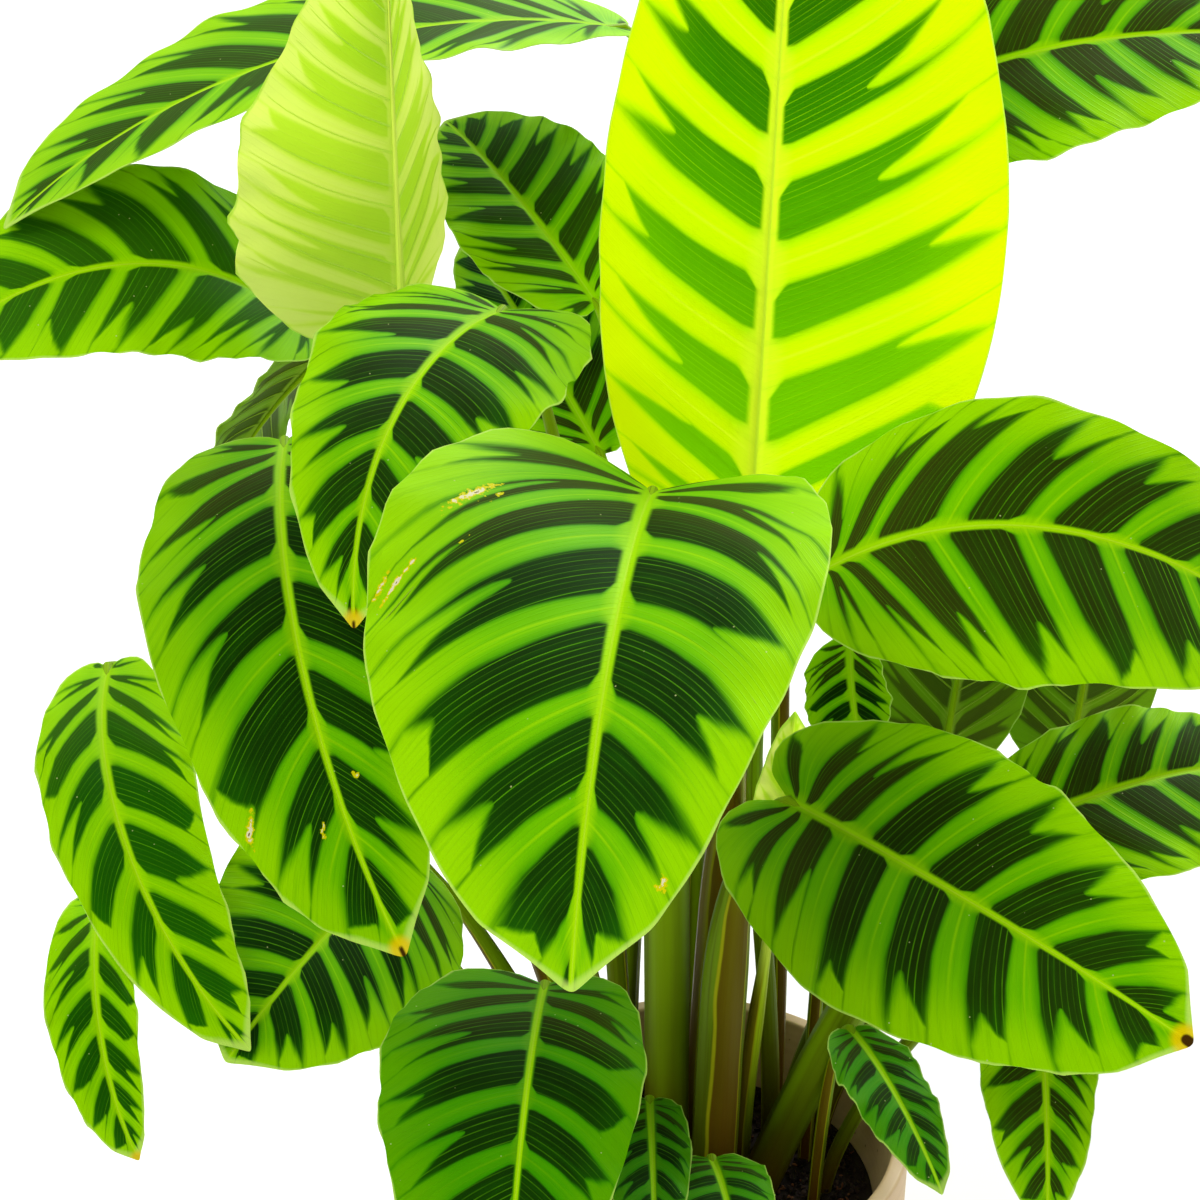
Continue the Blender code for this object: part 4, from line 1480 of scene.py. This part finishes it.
def make_skins() -> dict:
    """The finishes of the blades, by tone and side.

    Returns:
        Materials by tone, and with "_under" or "_stalk" for its underside or stalk.
    """
    blades = (
        BladeFinish("mature_blade", {}),
        BladeFinish("young_blade", {
            "Dark share": 0.5, "Dark at base": tint(130, 206, 0), "Dark": tint(46, 138, 0),
            "Dark at tip": tint(8, 88, 0), "Base reach": 0.72, "Green": tint(164, 230, 0),
            "Lime": tint(220, 250, 0), "Margin": tint(232, 252, 2), "Rib": tint(234, 252, 50),
            "Vein": tint(176, 232, 4), "Vein strength": 0.5, "Streaks": 0.35, "Marks": 0.0},
            through=0.45, glow=tint(230, 255, 0), velvet=0.02),
        BladeFinish("pale_blade", {
            "Dark share": 0.6, "Dark at base": tint(226, 246, 120), "Dark": tint(222, 245, 100),
            "Dark at tip": tint(216, 242, 84), "Green": tint(230, 248, 120), "Lime": tint(244, 253, 168),
            "Margin": tint(246, 254, 180), "Rib": tint(236, 249, 140), "Vein": tint(246, 253, 190),
            "Vein strength": 0.15, "Streaks": 0.4, "Marks": 0.0},
            through=0.85, glow=tint(250, 255, 190), velvet=0.02),
        BladeFinish("mature_underside", {
            "Dark share": 0.62, "Dark at base": tint(88, 104, 30), "Dark": tint(78, 104, 30),
            "Dark at tip": tint(74, 104, 28), "Green": tint(98, 134, 26), "Lime": tint(124, 168, 26),
            "Margin": tint(134, 180, 30), "Rib": tint(160, 192, 60), "Vein": tint(120, 150, 60),
            "Vein strength": 0.3, "Marks": 0.0},
            glow=tint(150, 200, 20), velvet=0.05),
    )
    pattern = ZebraPattern().build()
    mature, young, pale, under = (blade.make(pattern) for blade in blades)
    stalks = (
        StalkFinish(),
        StalkFinish("young_stalk", tint(96, 62, 6), tint(120, 110, 4), tint(206, 232, 70)),
        StalkFinish("pale_stalk", tint(110, 130, 6), tint(166, 196, 20), tint(222, 244, 90)),
    )
    skins = {}
    for tone, upper, lower, stalk in zip(Tone, (mature, young, pale), (under, pale, pale), stalks):
        skins |= {tone.value: upper, f"{tone.value}_under": lower, f"{tone.value}_stalk": stalk.make()}
    return skins


def main() -> None:
    logging.basicConfig(level=logging.INFO, format="%(message)s")
    pot = Pot()
    soil = Soil(pot)
    parts = [pot, soil]
    skins = make_skins()
    stalks = TubeGrowth("ridged_stalks", {"Sides": 20, "Ridges": 9.0, "Ridge depth": 0.035})
    veins = TubeGrowth("fine_veins", {"Sides": 5, "Ridges": 0.0, "Ridge depth": 0.0})
    soil_top = soil.level + soil.crown
    parts += [Leaf(form, index, skins, stalks, veins, soil_top) for index, form in enumerate(LEAVES)]
    for part in parts:
        item = part.build()
        log.info("%s: %d faces", item.name, len(item.data.polygons))
    Studio().build()


if __name__ == "__main__":
    main()
